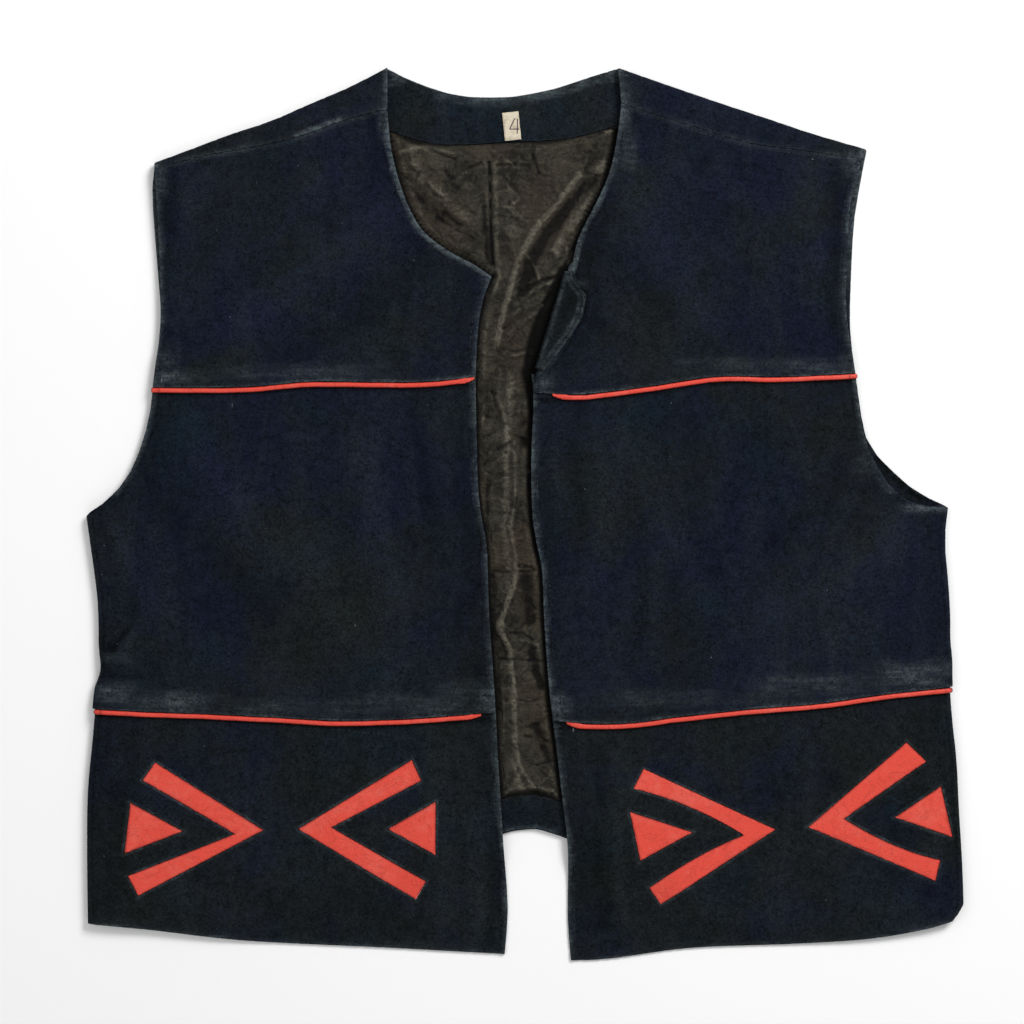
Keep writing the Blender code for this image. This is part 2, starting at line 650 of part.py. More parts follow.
def cut_plan(outline, holes=(), rows=(), step=FRONT_STEP, zones=()):
    """A cut piece as points and triangles: its outline, its windows, and an even filling.

    rows are lines that the triangles follow, and may run past the outline. zones are pairs of an
    outline and a step, for parts that are filled more closely.
    """
    loops = [np.asarray(loop) for loop in (outline, *holes)]
    points = np.vstack([*loops, *rows])
    edges = []
    start = 0
    for loop in loops:
        count = len(loop)
        edges += [(start + k, start + (k + 1) % count) for k in range(count)]
        start += count
    for row in rows:
        edges += [(start + k, start + k + 1) for k in range(len(row) - 1)]
        start += len(row)

    def in_piece(point):
        return inside(point, loops[0]) and not any(inside(point, hole) for hole in loops[1:])

    def fill(spacing, within=None):
        nonlocal points
        low, high = loops[0].min(axis=0), loops[0].max(axis=0)
        for k, up in enumerate(np.arange(low[1] + spacing / 2, high[1], spacing * math.sqrt(3) / 2)):
            for across in np.arange(low[0] + spacing * (0.5 if k % 2 else 1.0), high[0], spacing):
                point = np.array([across, up])
                if within is not None and not inside(point, within):
                    continue
                if np.linalg.norm(points - point, axis=1).min() > spacing * 0.6 and in_piece(point):
                    points = np.vstack([points, point])

    for zone, zone_step in zones:
        fill(zone_step, zone)
    fill(step)
    made = delaunay_2d_cdt([Vector(point) for point in points.tolist()], edges, [], 0, SNAP)
    plan = np.array([[p.x, p.y] for p in made[0]])
    triangles = []
    for a, b, c in made[2]:
        if in_piece(plan[[a, b, c]].mean(axis=0)):
            one, two = plan[b] - plan[a], plan[c] - plan[a]
            triangles.append((a, b, c) if one[0] * two[1] > one[1] * two[0] else (a, c, b))
    used = sorted({v for triangle in triangles for v in triangle})
    renumbered = {v: k for k, v in enumerate(used)}
    return plan[used], [tuple(renumbered[v] for v in triangle) for triangle in triangles]


def cloth(name, plan, low, high, place, material):
    """A wall between two lifts of a cut piece, as an object."""
    points, triangles = plan
    count = len(points)
    inner = [place(x, y, low) for x, y in points]
    outer = [place(x, y, high) for x, y in points]
    directed = {(a, b) for tri in triangles for a, b in zip(tri, tri[1:] + tri[:1])}
    faces = [tuple(v + count for v in tri) for tri in triangles]
    faces += [tri[::-1] for tri in triangles]
    faces += [(b + count, a + count, a, b) for a, b in sorted(directed) if (b, a) not in directed]
    return make_object(name, inner + outer, faces, material)


def make_object(name, points, faces, material):
    mesh = bpy.data.meshes.new(name)
    mesh.from_pydata([Vector(p) * MM for p in points], [], faces)
    mesh.update()
    mesh.shade_smooth()
    mesh.set_sharp_from_angle(angle=math.radians(45))
    mesh.materials.append(material)
    made = bpy.data.objects.new(name, mesh)
    bpy.context.scene.collection.objects.link(made)
    made.parent = garment
    return made


def make_material(name, colour, roughness, sheen):
    made = bpy.data.materials.new(name)
    made.use_nodes = True
    shader = made.node_tree.nodes["Principled BSDF"]
    shader.inputs["Base Color"].default_value = (*colour, 1.0)
    shader.inputs["Roughness"].default_value = roughness
    shader.inputs["Metallic"].default_value = 0.0
    shader.inputs["Sheen Weight"].default_value = sheen
    return made


def side_rows(right):
    """Rows of points beside a side seam, so that its roll stays round."""
    inward = 1 if right else -1
    up = np.arange(ARMPIT[right] + LAP, -FARTHEST, -EDGE_STEP)
    side = side_lines[right](np.minimum(up, ARMPIT[right]))
    turns = [SIDE_TURN * math.pi / 2 * (part + 1) / SIDE_ROWS for part in range(SIDE_ROWS)]
    return [np.stack([side + inward * (turn - SIDE_TURN_EXTRA), up], axis=1) for turn in turns]


def fold_rows(fold, ends):
    """Rows of points round a shoulder fold."""
    across = np.linspace(*ends, FOLD_POINTS)
    turn = np.array([shoulder_turn(x) for x in across])
    start = fold(across) - turn
    shares = np.linspace(0, 1, FOLD_ROWS + 1)
    return [np.stack([across, start + turn * math.pi * share], axis=1) for share in shares]


def lap_rows(right, tier, rises):
    """Rows of points along a lapped seam, shared by the two tiers that meet there."""
    line = tier_lines[right][tier]
    ends = (-FARTHEST, -MIDDLE_OF_NECK) if right else (0.0, FARTHEST)
    across = np.arange(*ends, EDGE_STEP)
    return [np.stack([across, line(across) + rise], axis=1) for rise in rises]


def build_back():
    rows = side_rows(True) + side_rows(False)
    for fold, ends in zip((right_fold_up, left_fold_up), SHOULDER_ROW_ENDS):
        rows += fold_rows(fold, ends)
    plan = cut_plan(back_outline(), rows=rows, step=BACK_STEP)
    cloth("back", plan, -SUEDE / 2, SUEDE / 2, back_point, suede)


def build_facings():
    """The strips of suede that finish the inside of the back's neck and of its hem."""
    low, high = INSIDE_LIFT, INSIDE_LIFT + FACING
    across = np.linspace(*NECK_FACING_ENDS, LINE_POINTS)
    neck_up = level(BACK["neck"])(across) - FACING_SHY
    turn_up = np.array([fold_up(x) - shoulder_turn(x) for x in across]) - FACING_BELOW_TURN
    upper = np.stack([across, np.minimum(neck_up, turn_up)], axis=1)
    lower = fine_line(BACK["lining_top"])
    outline = closed_band(lower, upper, NECK_FACING_STEP)
    cloth("back_neck_facing", cut_plan(outline), low, high, back_point, suede)
    across = np.linspace(*HEM_FACING_ENDS, HEM_POINTS)
    lower = np.stack([across, back_hem_up(across) + FACING_SHY], axis=1)
    upper = lower + (0, HEM_FACING_DEPTH - FACING_SHY)
    cloth("back_hem_facing", cut_plan(closed_band(lower, upper, EDGE_STEP)), low, high, back_point, suede)


def build_lining():
    shows = np.array([[row["across"], row["up"]] for row in LINING_SHOWS], float)
    plan = cut_plan(lining_outline(), step=BACK_STEP, zones=[(shows, LINING_STEP)])
    cloth("back_lining", plan, -LINING / 2, LINING / 2, lining_point, satin)


def build_label():
    width, height = LABEL_SIZE
    corners = np.array([(-width, -height), (width, -height), (width, height), (-width, height)]) / 2
    tilt = math.radians(LABEL_TILT)
    spin = np.array([[math.cos(tilt), math.sin(tilt)], [-math.sin(tilt), math.cos(tilt)]])
    corners = corners @ spin + LABEL_CENTRE
    outline = chain_edges(np.stack([corners, np.roll(corners, -1, axis=0)], axis=1), LABEL_STEP)
    low = INSIDE_LIFT + FACING + SEAM_GAP
    cloth("size_label", cut_plan(outline, step=LABEL_STEP), low, low + LABEL, back_point, paper)


def build_front(front, right):
    """One front's three tiers, with the windows of its motifs in the lowest."""
    word = "right" if right else "left"
    outline = front_outline(front, right)
    upper, lower = tier_lines[right]
    place = lambda x, y, lift: front_point(x, y, lift, right, 0)
    rows = lap_rows(right, 0, (LAP / 2, LAP, LAP + LAP_BLEND / 2))
    if not right:
        place = turned_point
        rows += turn_rows()
    plan = cut_plan(clipped(outline, upper, True, EDGE_STEP), rows=rows)
    cloth(f"{word}_front_yoke", plan, -SUEDE / 2, SUEDE / 2, place, suede)

    middle = clipped(outline, lambda x: upper(x) + LAP, False, EDGE_STEP)
    middle = clipped(middle, lower, True, EDGE_STEP)
    rows = side_rows(right) + lap_rows(right, 0, (0.0, LAP / 2))
    rows += lap_rows(right, 1, (LAP / 2, LAP, LAP + LAP_BLEND / 2))
    place = lambda x, y, lift: front_point(x, y, lift, right, 1)
    cloth(f"{word}_front_middle", cut_plan(middle, rows=rows), -SUEDE / 2, SUEDE / 2, place, suede)

    bottom = clipped(outline, lambda x: lower(x) + LAP, False, EDGE_STEP)
    motifs = [motif for motif in MOTIFS if motif["right"] == right]
    windows = [cut(motif) for motif in motifs for cut in (chevron, triangle)]
    plan = cut_plan(bottom, holes=windows, rows=side_rows(right) + lap_rows(right, 1, (0.0, LAP / 2)))
    place = lambda x, y, lift: front_point(x, y, lift, right, 2)
    cloth(f"{word}_front_lower", plan, -SUEDE / 2, SUEDE / 2, place, suede)
    for number, window in enumerate(windows):
        kind = "triangle" if number % 2 else "chevron"
        motif = "outer" if (number < 2) == right else "inner"
        plan = cut_plan(inset(window, SEAM_GAP), step=WINDOW_STEP)
        name = f"{word}_{motif}_{kind}"
        cloth(name, plan, -SUEDE / 2, LEATHER - SUEDE / 2, place, red_leather)


def turn_rows():
    """Rows of points along the turned-out corner, so that its turn stays round."""
    start, run, inwards = turn_frame()
    line = spaced(np.array([start - run * 2, np.array(TURN_END) + run * 12]), TURN_STEP)
    return [line - inwards * row for row in TURN_ROWS]


def turned_facing_plan():
    """The cut of the facing that shows on the turned-out corner, from its turn to the front's edge."""
    outline = front_outline(LEFT_FRONT, False)
    start, run, inwards = turn_frame()
    near, far = [], []
    for station in np.arange(*TURNED_FACING_ENDS, TURNED_FACING_STEP):
        hinge = start + run * station
        depth = TURNED_FACING_START
        while inside(hinge - inwards * (depth + TURNED_FACING_SHY), outline):
            depth += DEPTH_STEP
        if depth > TURNED_FACING_START + TURNED_FACING_LEAST:
            near.append(hinge - inwards * TURNED_FACING_START)
            far.append(hinge - inwards * depth)
    return cut_plan(np.vstack([far, near[::-1]]), rows=turn_rows()[5:], step=EDGE_STEP)


def build_turned_facing():
    low = -SUEDE / 2 - TURN_GAP - FACING
    cloth("left_front_facing", turned_facing_plan(), low, low + FACING, turned_point, suede)


def build_piping(run):
    """A flat-bottomed rounded strip that lies on the lower tier, tapered at the front edge."""
    right = bool(run["right"])
    tier = run["tier"]
    line = tier_lines[right][tier]
    step = 1 if run["outer"] > run["inner"] else -1
    stations = np.arange(run["inner"], run["outer"], step * PIPING_STEP)
    near_side = run["outer"] - step * np.array(PIPING_NEAR_SIDE)
    stations = [stations[0], *(run["inner"] + step * np.array(PIPING_NEAR_POINT)), *stations[1:]]
    stations = [x for x in stations if (near_side[0] - x) * step > PIPING_NEAR_POINT[0]]
    stations += [*near_side, run["outer"]] if tier == 1 else [run["outer"]]
    section = [(0.0, 0.0), (1.0, 0.0), (1.0, 0.45), (0.82, 0.85), (0.5, 1.0), (0.18, 0.85), (0.0, 0.45)]
    low = SUEDE / 2 + SEAM_GAP
    points = []
    for x in stations:
        full = PIPING_POINT + (1 - PIPING_POINT) * float(smoothstep(abs(x - run["inner"]) / run["taper"]))
        for across, rise in section:
            up = float(line(x)) - SEAM_GAP - across * PIPING_WIDTH * full
            lift = low + rise * PIPING_THICK * (1 + full) / 2
            points.append(front_point(x, up, lift, right, tier + 1))
    sides = len(section)
    faces = []
    for k in range(len(stations) - 1):
        for j in range(sides):
            a, b = k * sides + j, k * sides + (j + 1) % sides
            faces.append((a, a + sides, b + sides, b))
    last = (len(stations) - 1) * sides
    faces.append(tuple(range(sides)))
    faces.append(tuple(last + j for j in reversed(range(sides))))
    if step < 0:
        faces = [face[::-1] for face in faces]
    word, place = ("right" if right else "left"), ("upper", "lower")[tier]
    make_object(f"{word}_{place}_piping", points, faces, red_leather)


def centre_on_floor():
    """Moves the whole vest so that the middle of its box is over the origin."""
    corners = [obj.matrix_world @ v.co for obj in garment.children for v in obj.data.vertices]
    low = [min(c[i] for c in corners) for i in range(3)]
    high = [max(c[i] for c in corners) for i in range(3)]
    garment.location = (-(low[0] + high[0]) / 2, -(low[1] + high[1]) / 2, -low[2])


for old in list(bpy.data.objects):
    bpy.data.objects.remove(old)
garment = bpy.data.objects.new("garment", None)
bpy.context.scene.collection.objects.link(garment)
suede = make_material("suede", (0.012, 0.016, 0.026), 0.95, 0.4)
red_leather = make_material("red_leather", (0.62, 0.075, 0.05), 0.55, 0.0)
satin = make_material("lining", (0.045, 0.036, 0.024), 0.42, 0.2)
paper = make_material("label", (0.72, 0.66, 0.50), 0.8, 0.0)
build_back()
build_facings()
build_lining()
build_label()
build_front(RIGHT_FRONT, True)
build_front(LEFT_FRONT, False)
build_turned_facing()
for run in PIPING_RUNS:
    build_piping(run)
bpy.context.view_layer.update()
centre_on_floor()
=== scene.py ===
import math

import bmesh
import bpy
import numpy as np
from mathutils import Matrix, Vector, kdtree
from mathutils.bvhtree import BVHTree
from mathutils.geometry import delaunay_2d_cdt


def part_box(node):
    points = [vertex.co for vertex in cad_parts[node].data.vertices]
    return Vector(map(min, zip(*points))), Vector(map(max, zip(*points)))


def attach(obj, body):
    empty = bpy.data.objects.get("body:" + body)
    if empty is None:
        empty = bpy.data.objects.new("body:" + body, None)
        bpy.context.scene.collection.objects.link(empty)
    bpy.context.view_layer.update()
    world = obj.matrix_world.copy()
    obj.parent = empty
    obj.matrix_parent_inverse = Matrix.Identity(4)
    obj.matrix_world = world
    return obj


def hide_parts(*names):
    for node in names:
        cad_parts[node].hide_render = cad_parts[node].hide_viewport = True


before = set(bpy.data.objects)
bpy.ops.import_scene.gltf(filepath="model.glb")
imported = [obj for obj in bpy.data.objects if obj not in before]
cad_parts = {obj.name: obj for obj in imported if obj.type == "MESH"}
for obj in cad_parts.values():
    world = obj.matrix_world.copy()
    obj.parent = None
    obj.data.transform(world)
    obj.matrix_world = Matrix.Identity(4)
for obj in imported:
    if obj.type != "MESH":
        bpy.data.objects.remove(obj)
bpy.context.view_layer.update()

scene = bpy.context.scene
mm = 0.001  # shapes are worked out in millimetres: across, up towards the neck, and height

# The wearer's right front lies on the side of negative across, which is the photo's left


def deselectAll():
    for thing in bpy.context.selected_objects:
        thing.select_set(False)


def makeActive(thing):
    deselectAll()
    thing.select_set(True)
    bpy.context.view_layer.objects.active = thing


def smoothStep(value):
    value = np.clip(value, 0.0, 1.0)
    return value * value * (3 - 2 * value)


def addPiece(name, mesh, replaced=()):
    mesh.materials.clear()
    piece = bpy.data.objects.new(name, mesh)
    scene.collection.objects.link(piece)
    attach(piece, "root")
    if replaced:
        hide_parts(*replaced)
    return piece


# Colours, as linear light
inks = {
    "navy": (0.0052, 0.0072, 0.0165),
    "teal": (0.0042, 0.0092, 0.0135),
    "brownBlack": (0.0072, 0.0092, 0.0098),
    "blackBlue": (0.0030, 0.0038, 0.0065),
    "brushed": (0.0120, 0.0150, 0.0200),
    "wornGrey": (0.064, 0.081, 0.089),
    "lint": (0.20, 0.22, 0.22),
    "red": (0.680, 0.060, 0.037),
    # dark red of the leather's specks and grain creases, also used as painted shade
    "redGrainAndShade": (0.20, 0.010, 0.009),
    "redPale": (0.72, 0.130, 0.095),
    "olive": (0.0440, 0.0400, 0.0290),
    "oliveDark": (0.0085, 0.0078, 0.0058),
    # the satin's painted highlight
    "oliveHighlight": (0.125, 0.115, 0.088),
    "russet": (0.046, 0.034, 0.023),
    "cream": (0.66, 0.585, 0.45),
    "creamDull": (0.40, 0.34, 0.25),
    "penInk": (0.055, 0.030, 0.055),
    "penFaded": (0.10, 0.08, 0.13),
    "thread": (0.010, 0.014, 0.022),
    "threadDull": (0.026, 0.034, 0.040),
    "threadDusty": (0.060, 0.078, 0.088),
    "threadEnd": (0.080, 0.100, 0.110),
    "floor": (0.93, 0.93, 0.93),
    "floorDull": (0.91, 0.91, 0.91),
}


# Node helpers: one line adds a node, with its inputs given as values or as other nodes' outputs
def addNode(tree, kind, inputs=None, **settings):
    made = tree.nodes.new(kind)
    for name, value in settings.items():
        setattr(made, name, value)
    for key, value in (inputs or {}).items():
        if isinstance(value, bpy.types.NodeSocket):
            tree.links.new(value, made.inputs[key])
        else:
            made.inputs[key].default_value = value
    return made


def calc(tree, operation, first, second=0.0, third=0.0):
    made = addNode(tree, "ShaderNodeMath", {0: first, 1: second, 2: third}, operation=operation)
    return made.outputs[0]


def times(tree, first, second):
    return calc(tree, "MULTIPLY", first, second)


def timesPlus(tree, first, factor, added):
    return calc(tree, "MULTIPLY_ADD", first, factor, added)


def between(tree, value, low, high):
    made = addNode(
        tree, "ShaderNodeMapRange", {"Value": value, "From Min": low, "From Max": high},
        interpolation_type="SMOOTHSTEP",
    )
    return made.outputs["Result"]


def mixColour(tree, share, first, second, blend="MIX"):
    made = tree.nodes.new("ShaderNodeMix")
    made.data_type = "RGBA"
    made.blend_type = blend
    for index, value in ((0, share), (6, first), (7, second)):
        if isinstance(value, bpy.types.NodeSocket):
            tree.links.new(value, made.inputs[index])
        else:
            made.inputs[index].default_value = (*value, 1.0) if index > 0 and len(value) == 3 else value
    return made.outputs[2]


def mixValue(tree, share, first, second):
    made = addNode(tree, "ShaderNodeMix", {0: share, 2: first, 3: second})
    return made.outputs[0]


def newGroup(name, inputs, outputs):
    tree = bpy.data.node_groups.new(name, "ShaderNodeTree")
    for label, kind, value in inputs:
        socket = tree.interface.new_socket(label, in_out="INPUT", socket_type=kind)
        if value is not None:
            socket.default_value = value
    for label, kind in outputs:
        tree.interface.new_socket(label, in_out="OUTPUT", socket_type=kind)
    entry = tree.nodes.new("NodeGroupInput")
    leave = tree.nodes.new("NodeGroupOutput")
    return tree, entry.outputs, leave.inputs


def useGroup(tree, group, inputs):
    made = tree.nodes.new("ShaderNodeGroup")
    made.node_tree = group
    for key, value in inputs.items():
        if isinstance(value, bpy.types.NodeSocket):
            tree.links.new(value, made.inputs[key])
        else:
            made.inputs[key].default_value = value
    return made.outputs


def noise(tree, place, scale, detail=3.0, roughness=0.55, distortion=0.0):
    made = addNode(
        tree, "ShaderNodeTexNoise",
        {"Vector": place, "Scale": scale, "Detail": detail, "Roughness": roughness, "Distortion": distortion},
    )
    return made.outputs["Fac"]


def stretched(tree, place, scale, turn=0.0):
    made = addNode(tree, "ShaderNodeMapping", {"Vector": place, "Rotation": (0, 0, turn), "Scale": scale})
    return made.outputs[0]


def greyOf(tree, share):
    return addNode(tree, "ShaderNodeCombineColor", {0: share, 1: share, 2: share}).outputs[0]


def darkenBy(tree, base, share):
    return mixColour(tree, 1.0, base, greyOf(tree, share), "MULTIPLY")


asVector, asValue, asColour = "NodeSocketVector", "NodeSocketFloat", "NodeSocketColor"


# Dye patches: soft clouds of navy, teal and brown-black that run into each other
def makeDyeGroup():
    tree, given, put = newGroup(
        "dyePatches",
        [("Place", asVector, None), ("Patch Size", asValue, 14.0), ("Blue", asValue, 0.5)],
        [("Colour", asColour)],
    )
    place = given["Place"]
    large = noise(tree, place, given["Patch Size"], 4.0, 0.55, 0.4)
    moved = addNode(tree, "ShaderNodeVectorMath", {0: place, 1: (3.1, -1.7, 0.4)}, operation="ADD").outputs[0]
    second = noise(tree, moved, times(tree, given["Patch Size"], 1.35), 3.0, 0.5, 0.3)
    mottle = noise(tree, place, 110.0, 3.0, 0.6)
    blueEdge = calc(tree, "SUBTRACT", 0.98, given["Blue"])
    shift = timesPlus(tree, mottle, 0.16, calc(tree, "SUBTRACT", large, 0.08))
    blue = between(tree, shift, calc(tree, "SUBTRACT", blueEdge, 0.13), calc(tree, "ADD", blueEdge, 0.13))
    base = mixColour(tree, blue, inks["brownBlack"], inks["navy"])
    tealShare = times(tree, between(tree, second, 0.50, 0.70), 0.7)
    tinted = mixColour(tree, tealShare, base, inks["teal"])
    deep = times(tree, between(tree, noise(tree, moved, 31.0, 3.0, 0.6), 0.56, 0.74), 0.6)
    tree.links.new(mixColour(tree, deep, tinted, inks["blackBlue"]), put["Colour"])
    return tree


# Wear: pale rubbed nap where the wear painted on the points is high, broken up by the grain
def makeWearGroup():
    tree, given, put = newGroup(
        "rubbedWear",
        [("Place", asVector, None), ("Wear", asValue, 0.0), ("Amount", asValue, 1.0)],
        [("Mask", asValue)],
    )
    wide = between(tree, noise(tree, given["Place"], 34.0, 2.0, 0.5), 0.34, 0.66)
    coarse = between(tree, noise(tree, given["Place"], 210.0, 4.0, 0.7), 0.36, 0.66)
    fine = between(tree, noise(tree, given["Place"], 820.0, 2.0, 0.6), 0.34, 0.68)
    broken = times(tree, timesPlus(tree, wide, 0.7, 0.45), calc(tree, "ADD", coarse, fine))
    laid = stretched(tree, given["Place"], (0.10, 1.0, 1.0))
    streaks = between(tree, noise(tree, laid, 420.0, 2.0, 0.6), 0.36, 0.66)
    broken = times(tree, broken, timesPlus(tree, streaks, 0.75, 0.55))
    mask = times(tree, given["Wear"], timesPlus(tree, broken, 0.95, 0.06))
    tree.links.new(calc(tree, "MINIMUM", times(tree, mask, given["Amount"]), 1.0), put["Mask"])
    return tree


# Lint: tiny pale specks of several sizes, and a few short fibres
def makeLintGroup():
    tree, given, put = newGroup(
        "lintSpecks",
        [("Place", asVector, None), ("Scale", asValue, 60.0), ("Share", asValue, 0.2)],
        [("Mask", asValue)],
    )
    found = None
    for thin, turn, share in ((1.0, 0.0, 1.0), (0.22, 0.6, 0.5), (0.25, 2.2, 0.4)):
        laid = stretched(tree, given["Place"], (1.0, thin, 1.0), turn)
        cells = addNode(
            tree, "ShaderNodeTexVoronoi", {"Vector": laid, "Scale": given["Scale"], "Randomness": 1.0}
        )
        chance = addNode(tree, "ShaderNodeSeparateColor", {0: cells.outputs["Color"]}).outputs
        size = timesPlus(tree, chance[1], 0.040, 0.016)
        away = calc(tree, "DIVIDE", cells.outputs["Distance"], size)
        near = calc(tree, "SUBTRACT", 1.0, between(tree, away, 0.4, 1.0))
        chosen = calc(tree, "LESS_THAN", chance[0], times(tree, given["Share"], share))
        faint = timesPlus(tree, chance[2], 0.7, 0.3)
        mark = times(tree, times(tree, near, chosen), faint)
        found = mark if found is None else calc(tree, "MAXIMUM", found, mark)
    tree.links.new(found, put["Mask"])
    return tree


# Pile: the short uneven nap of suede, as a height, a grain that darkens and lightens it, and brush marks
def makePileGroup():
    tree, given, put = newGroup(
        "suedePile",
        [("Place", asVector, None)],
        [("Height", asValue), ("Grain", asValue), ("Brushed", asValue)],
    )
    fine = noise(tree, given["Place"], 1100.0, 2.0, 0.7)
    tufts = noise(tree, given["Place"], 480.0, 3.0, 0.65)
    clumps = noise(tree, given["Place"], 150.0, 3.0, 0.6)
    brushed = noise(tree, stretched(tree, given["Place"], (1.0, 0.35, 1.0), 0.5), 46.0, 4.0, 0.6, 0.6)
    height = calc(tree, "ADD", times(tree, fine, 0.45), times(tree, tufts, 0.55))
    grain = timesPlus(tree, fine, 2.6, timesPlus(tree, tufts, 2.2, -2.4))
    grain = timesPlus(tree, clumps, 1.1, calc(tree, "SUBTRACT", grain, 0.55))
    tree.links.new(height, put["Height"])
    tree.links.new(calc(tree, "MAXIMUM", calc(tree, "ADD", grain, 1.0), 0.12), put["Grain"])
    tree.links.new(brushed, put["Brushed"])
    return tree


# Grain: the pebbled surface and short creases of smooth leather
def makeGrainGroup():
    tree, given, put = newGroup(
        "leatherGrain",
        [("Place", asVector, None), ("Scale", asValue, 900.0)],
        [("Height", asValue), ("Crease", asValue)],
    )
    cells = addNode(
        tree, "ShaderNodeTexVoronoi", {"Vector": given["Place"], "Scale": given["Scale"]}, feature="SMOOTH_F1"
    )
    wide = noise(tree, given["Place"], 60.0, 3.0, 0.6, 1.2)
    crease = calc(tree, "ABSOLUTE", calc(tree, "SUBTRACT", wide, 0.5))
    line = calc(tree, "SUBTRACT", 1.0, between(tree, crease, 0.0, 0.022))
    tree.links.new(cells.outputs["Distance"], put["Height"])
    tree.links.new(line, put["Crease"])
    return tree


# Weave: crossing threads with slubs and fine pulls, for satin and tape
def makeWeaveGroup():
    tree, given, put = newGroup(
        "threadWeave",
        [("Place", asVector, None), ("Threads", asValue, 2200.0)],
        [("Height", asValue), ("Slubs", asValue)],
    )
    shape = {"Vector": given["Place"], "Scale": given["Threads"], "Distortion": 0.4}
    waves = [addNode(tree, "ShaderNodeTexWave", shape, bands_direction=way).outputs["Fac"] for way in "XY"]
    slubs = noise(tree, stretched(tree, given["Place"], (0.12, 1.0, 1.0)), 520.0, 3.0, 0.6)
    tree.links.new(calc(tree, "ADD", waves[0], times(tree, waves[1], 0.6)), put["Height"])
    tree.links.new(slubs, put["Slubs"])
    return tree


dyePatches = makeDyeGroup()
rubbedWear = makeWearGroup()
lintSpecks = makeLintGroup()
suedePile = makePileGroup()
leatherGrain = makeGrainGroup()
threadWeave = makeWeaveGroup()
print("node groups made")


def newMaterial(name, roughness, specular, sheen=0.0, sheenRoughness=0.5, sheenTint=(1, 1, 1)):
    made = bpy.data.materials.new(name)
    made.use_nodes = True
    tree = made.node_tree
    shader = tree.nodes["Principled BSDF"]
    shader.inputs["Roughness"].default_value = roughness
    shader.inputs["Specular IOR Level"].default_value = specular
    shader.inputs["Sheen Weight"].default_value = sheen
    shader.inputs["Sheen Roughness"].default_value = sheenRoughness
    shader.inputs["Sheen Tint"].default_value = (*sheenTint, 1.0)
    place = addNode(tree, "ShaderNodeTexCoord").outputs["Object"]
    return made, tree, shader.inputs, place


def readPoint(tree, name):
    return addNode(tree, "ShaderNodeAttribute", attribute_name=name, attribute_type="GEOMETRY").outputs["Fac"]


def bumpInto(tree, sockets, height, distance, strength=1.0):
    bump = addNode(tree, "ShaderNodeBump", {"Height": height, "Distance": distance, "Strength": strength})
    tree.links.new(bump.outputs["Normal"], sockets["Normal"])


suedeLooks = {
    # patch size, share of blue, how much the wear shows
    "yokeSuede": (13.0, 0.52, 1.0),
    "middleSuede": (11.0, 0.50, 1.0),
    "lowerSuede": (15.0, 0.38, 0.9),
    "backSuede": (12.0, 0.46, 1.0),
    "facingSuede": (16.0, 0.40, 0.9),
}


def makeSuede(name):
    patchSize, blue, wearAmount = suedeLooks[name]
    made, tree, sockets, place = newMaterial(name, 0.95, 0.05, 0.025, 0.40, (0.62, 0.72, 0.85))
    dye = useGroup(tree, dyePatches, {"Place": place, "Patch Size": patchSize, "Blue": blue})
    pile = useGroup(tree, suedePile, {"Place": place})
    wear = useGroup(tree, rubbedWear, {"Place": place, "Wear": readPoint(tree, "wear"), "Amount": wearAmount})
    lint = useGroup(tree, lintSpecks, {"Place": place, "Scale": 110.0, "Share": 0.40})
    # Painted shading read from the points: lighter on the creases' ridges, darker in their troughs, in the
    # stitch grooves, in the crook below a piping and in the gap behind the armhole edge
    paintedShading = readPoint(tree, "paintedShading")
    brush = between(tree, pile["Brushed"], 0.36, 0.72)
    shaded = mixColour(tree, times(tree, brush, 0.42), dye["Colour"], inks["brushed"])
    paintedShadeFactor = calc(tree, "MAXIMUM", timesPlus(tree, paintedShading, 0.62, 1.0), 0.18)
    grained = darkenBy(tree, shaded, times(tree, pile["Grain"], paintedShadeFactor))
    worn = mixColour(tree, wear["Mask"], grained, inks["wornGrey"])
    speckled = mixColour(tree, times(tree, lint["Mask"], 0.75), worn, inks["lint"])
    tree.links.new(speckled, sockets["Base Color"])
    tree.links.new(timesPlus(tree, pile["Height"], 0.2, 0.8), sockets["Roughness"])
    bumpInto(tree, sockets, pile["Height"], 0.0007, 0.8)
    return made


def makeRedLeather(name, gloss, scratches):
    made, tree, sockets, place = newMaterial(name, gloss, 0.30)
    grain = useGroup(tree, leatherGrain, {"Place": place, "Scale": 1100.0})
    cloud = noise(tree, place, 34.0, 4.0, 0.6, 0.5)
    patches = noise(tree, place, 150.0, 4.0, 0.65, 0.6)
    fine = noise(tree, place, 520.0, 3.0, 0.65)
    pale = times(tree, between(tree, timesPlus(tree, patches, 0.5, cloud), 0.70, 0.98), 0.40)
    base = mixColour(tree, pale, inks["red"], inks["redPale"])
    speck = times(tree, between(tree, fine, 0.46, 0.72), 0.16)
    dotted = mixColour(tree, speck, base, inks["redGrainAndShade"])
    scuffs = between(tree, times(tree, fine, patches), 0.31, 0.42)
    scuffed = mixColour(tree, times(tree, scuffs, scratches), dotted, inks["redPale"])
    creased = mixColour(tree, times(tree, grain["Crease"], 0.20), scuffed, inks["redGrainAndShade"])
    # Painted shade read from the points: round the rims of the inlays, and on the pipings' sides and across
    # their far ends
    shade = between(tree, readPoint(tree, "shade"), 0.0, 1.0)
    tree.links.new(mixColour(tree, shade, creased, inks["redGrainAndShade"]), sockets["Base Color"])
    tree.links.new(timesPlus(tree, fine, 0.2, gloss - 0.1), sockets["Roughness"])
    height = calc(tree, "SUBTRACT", grain["Height"], times(tree, grain["Crease"], 0.6))
    bumpInto(tree, sockets, height, 0.00022, 0.7)
    return made


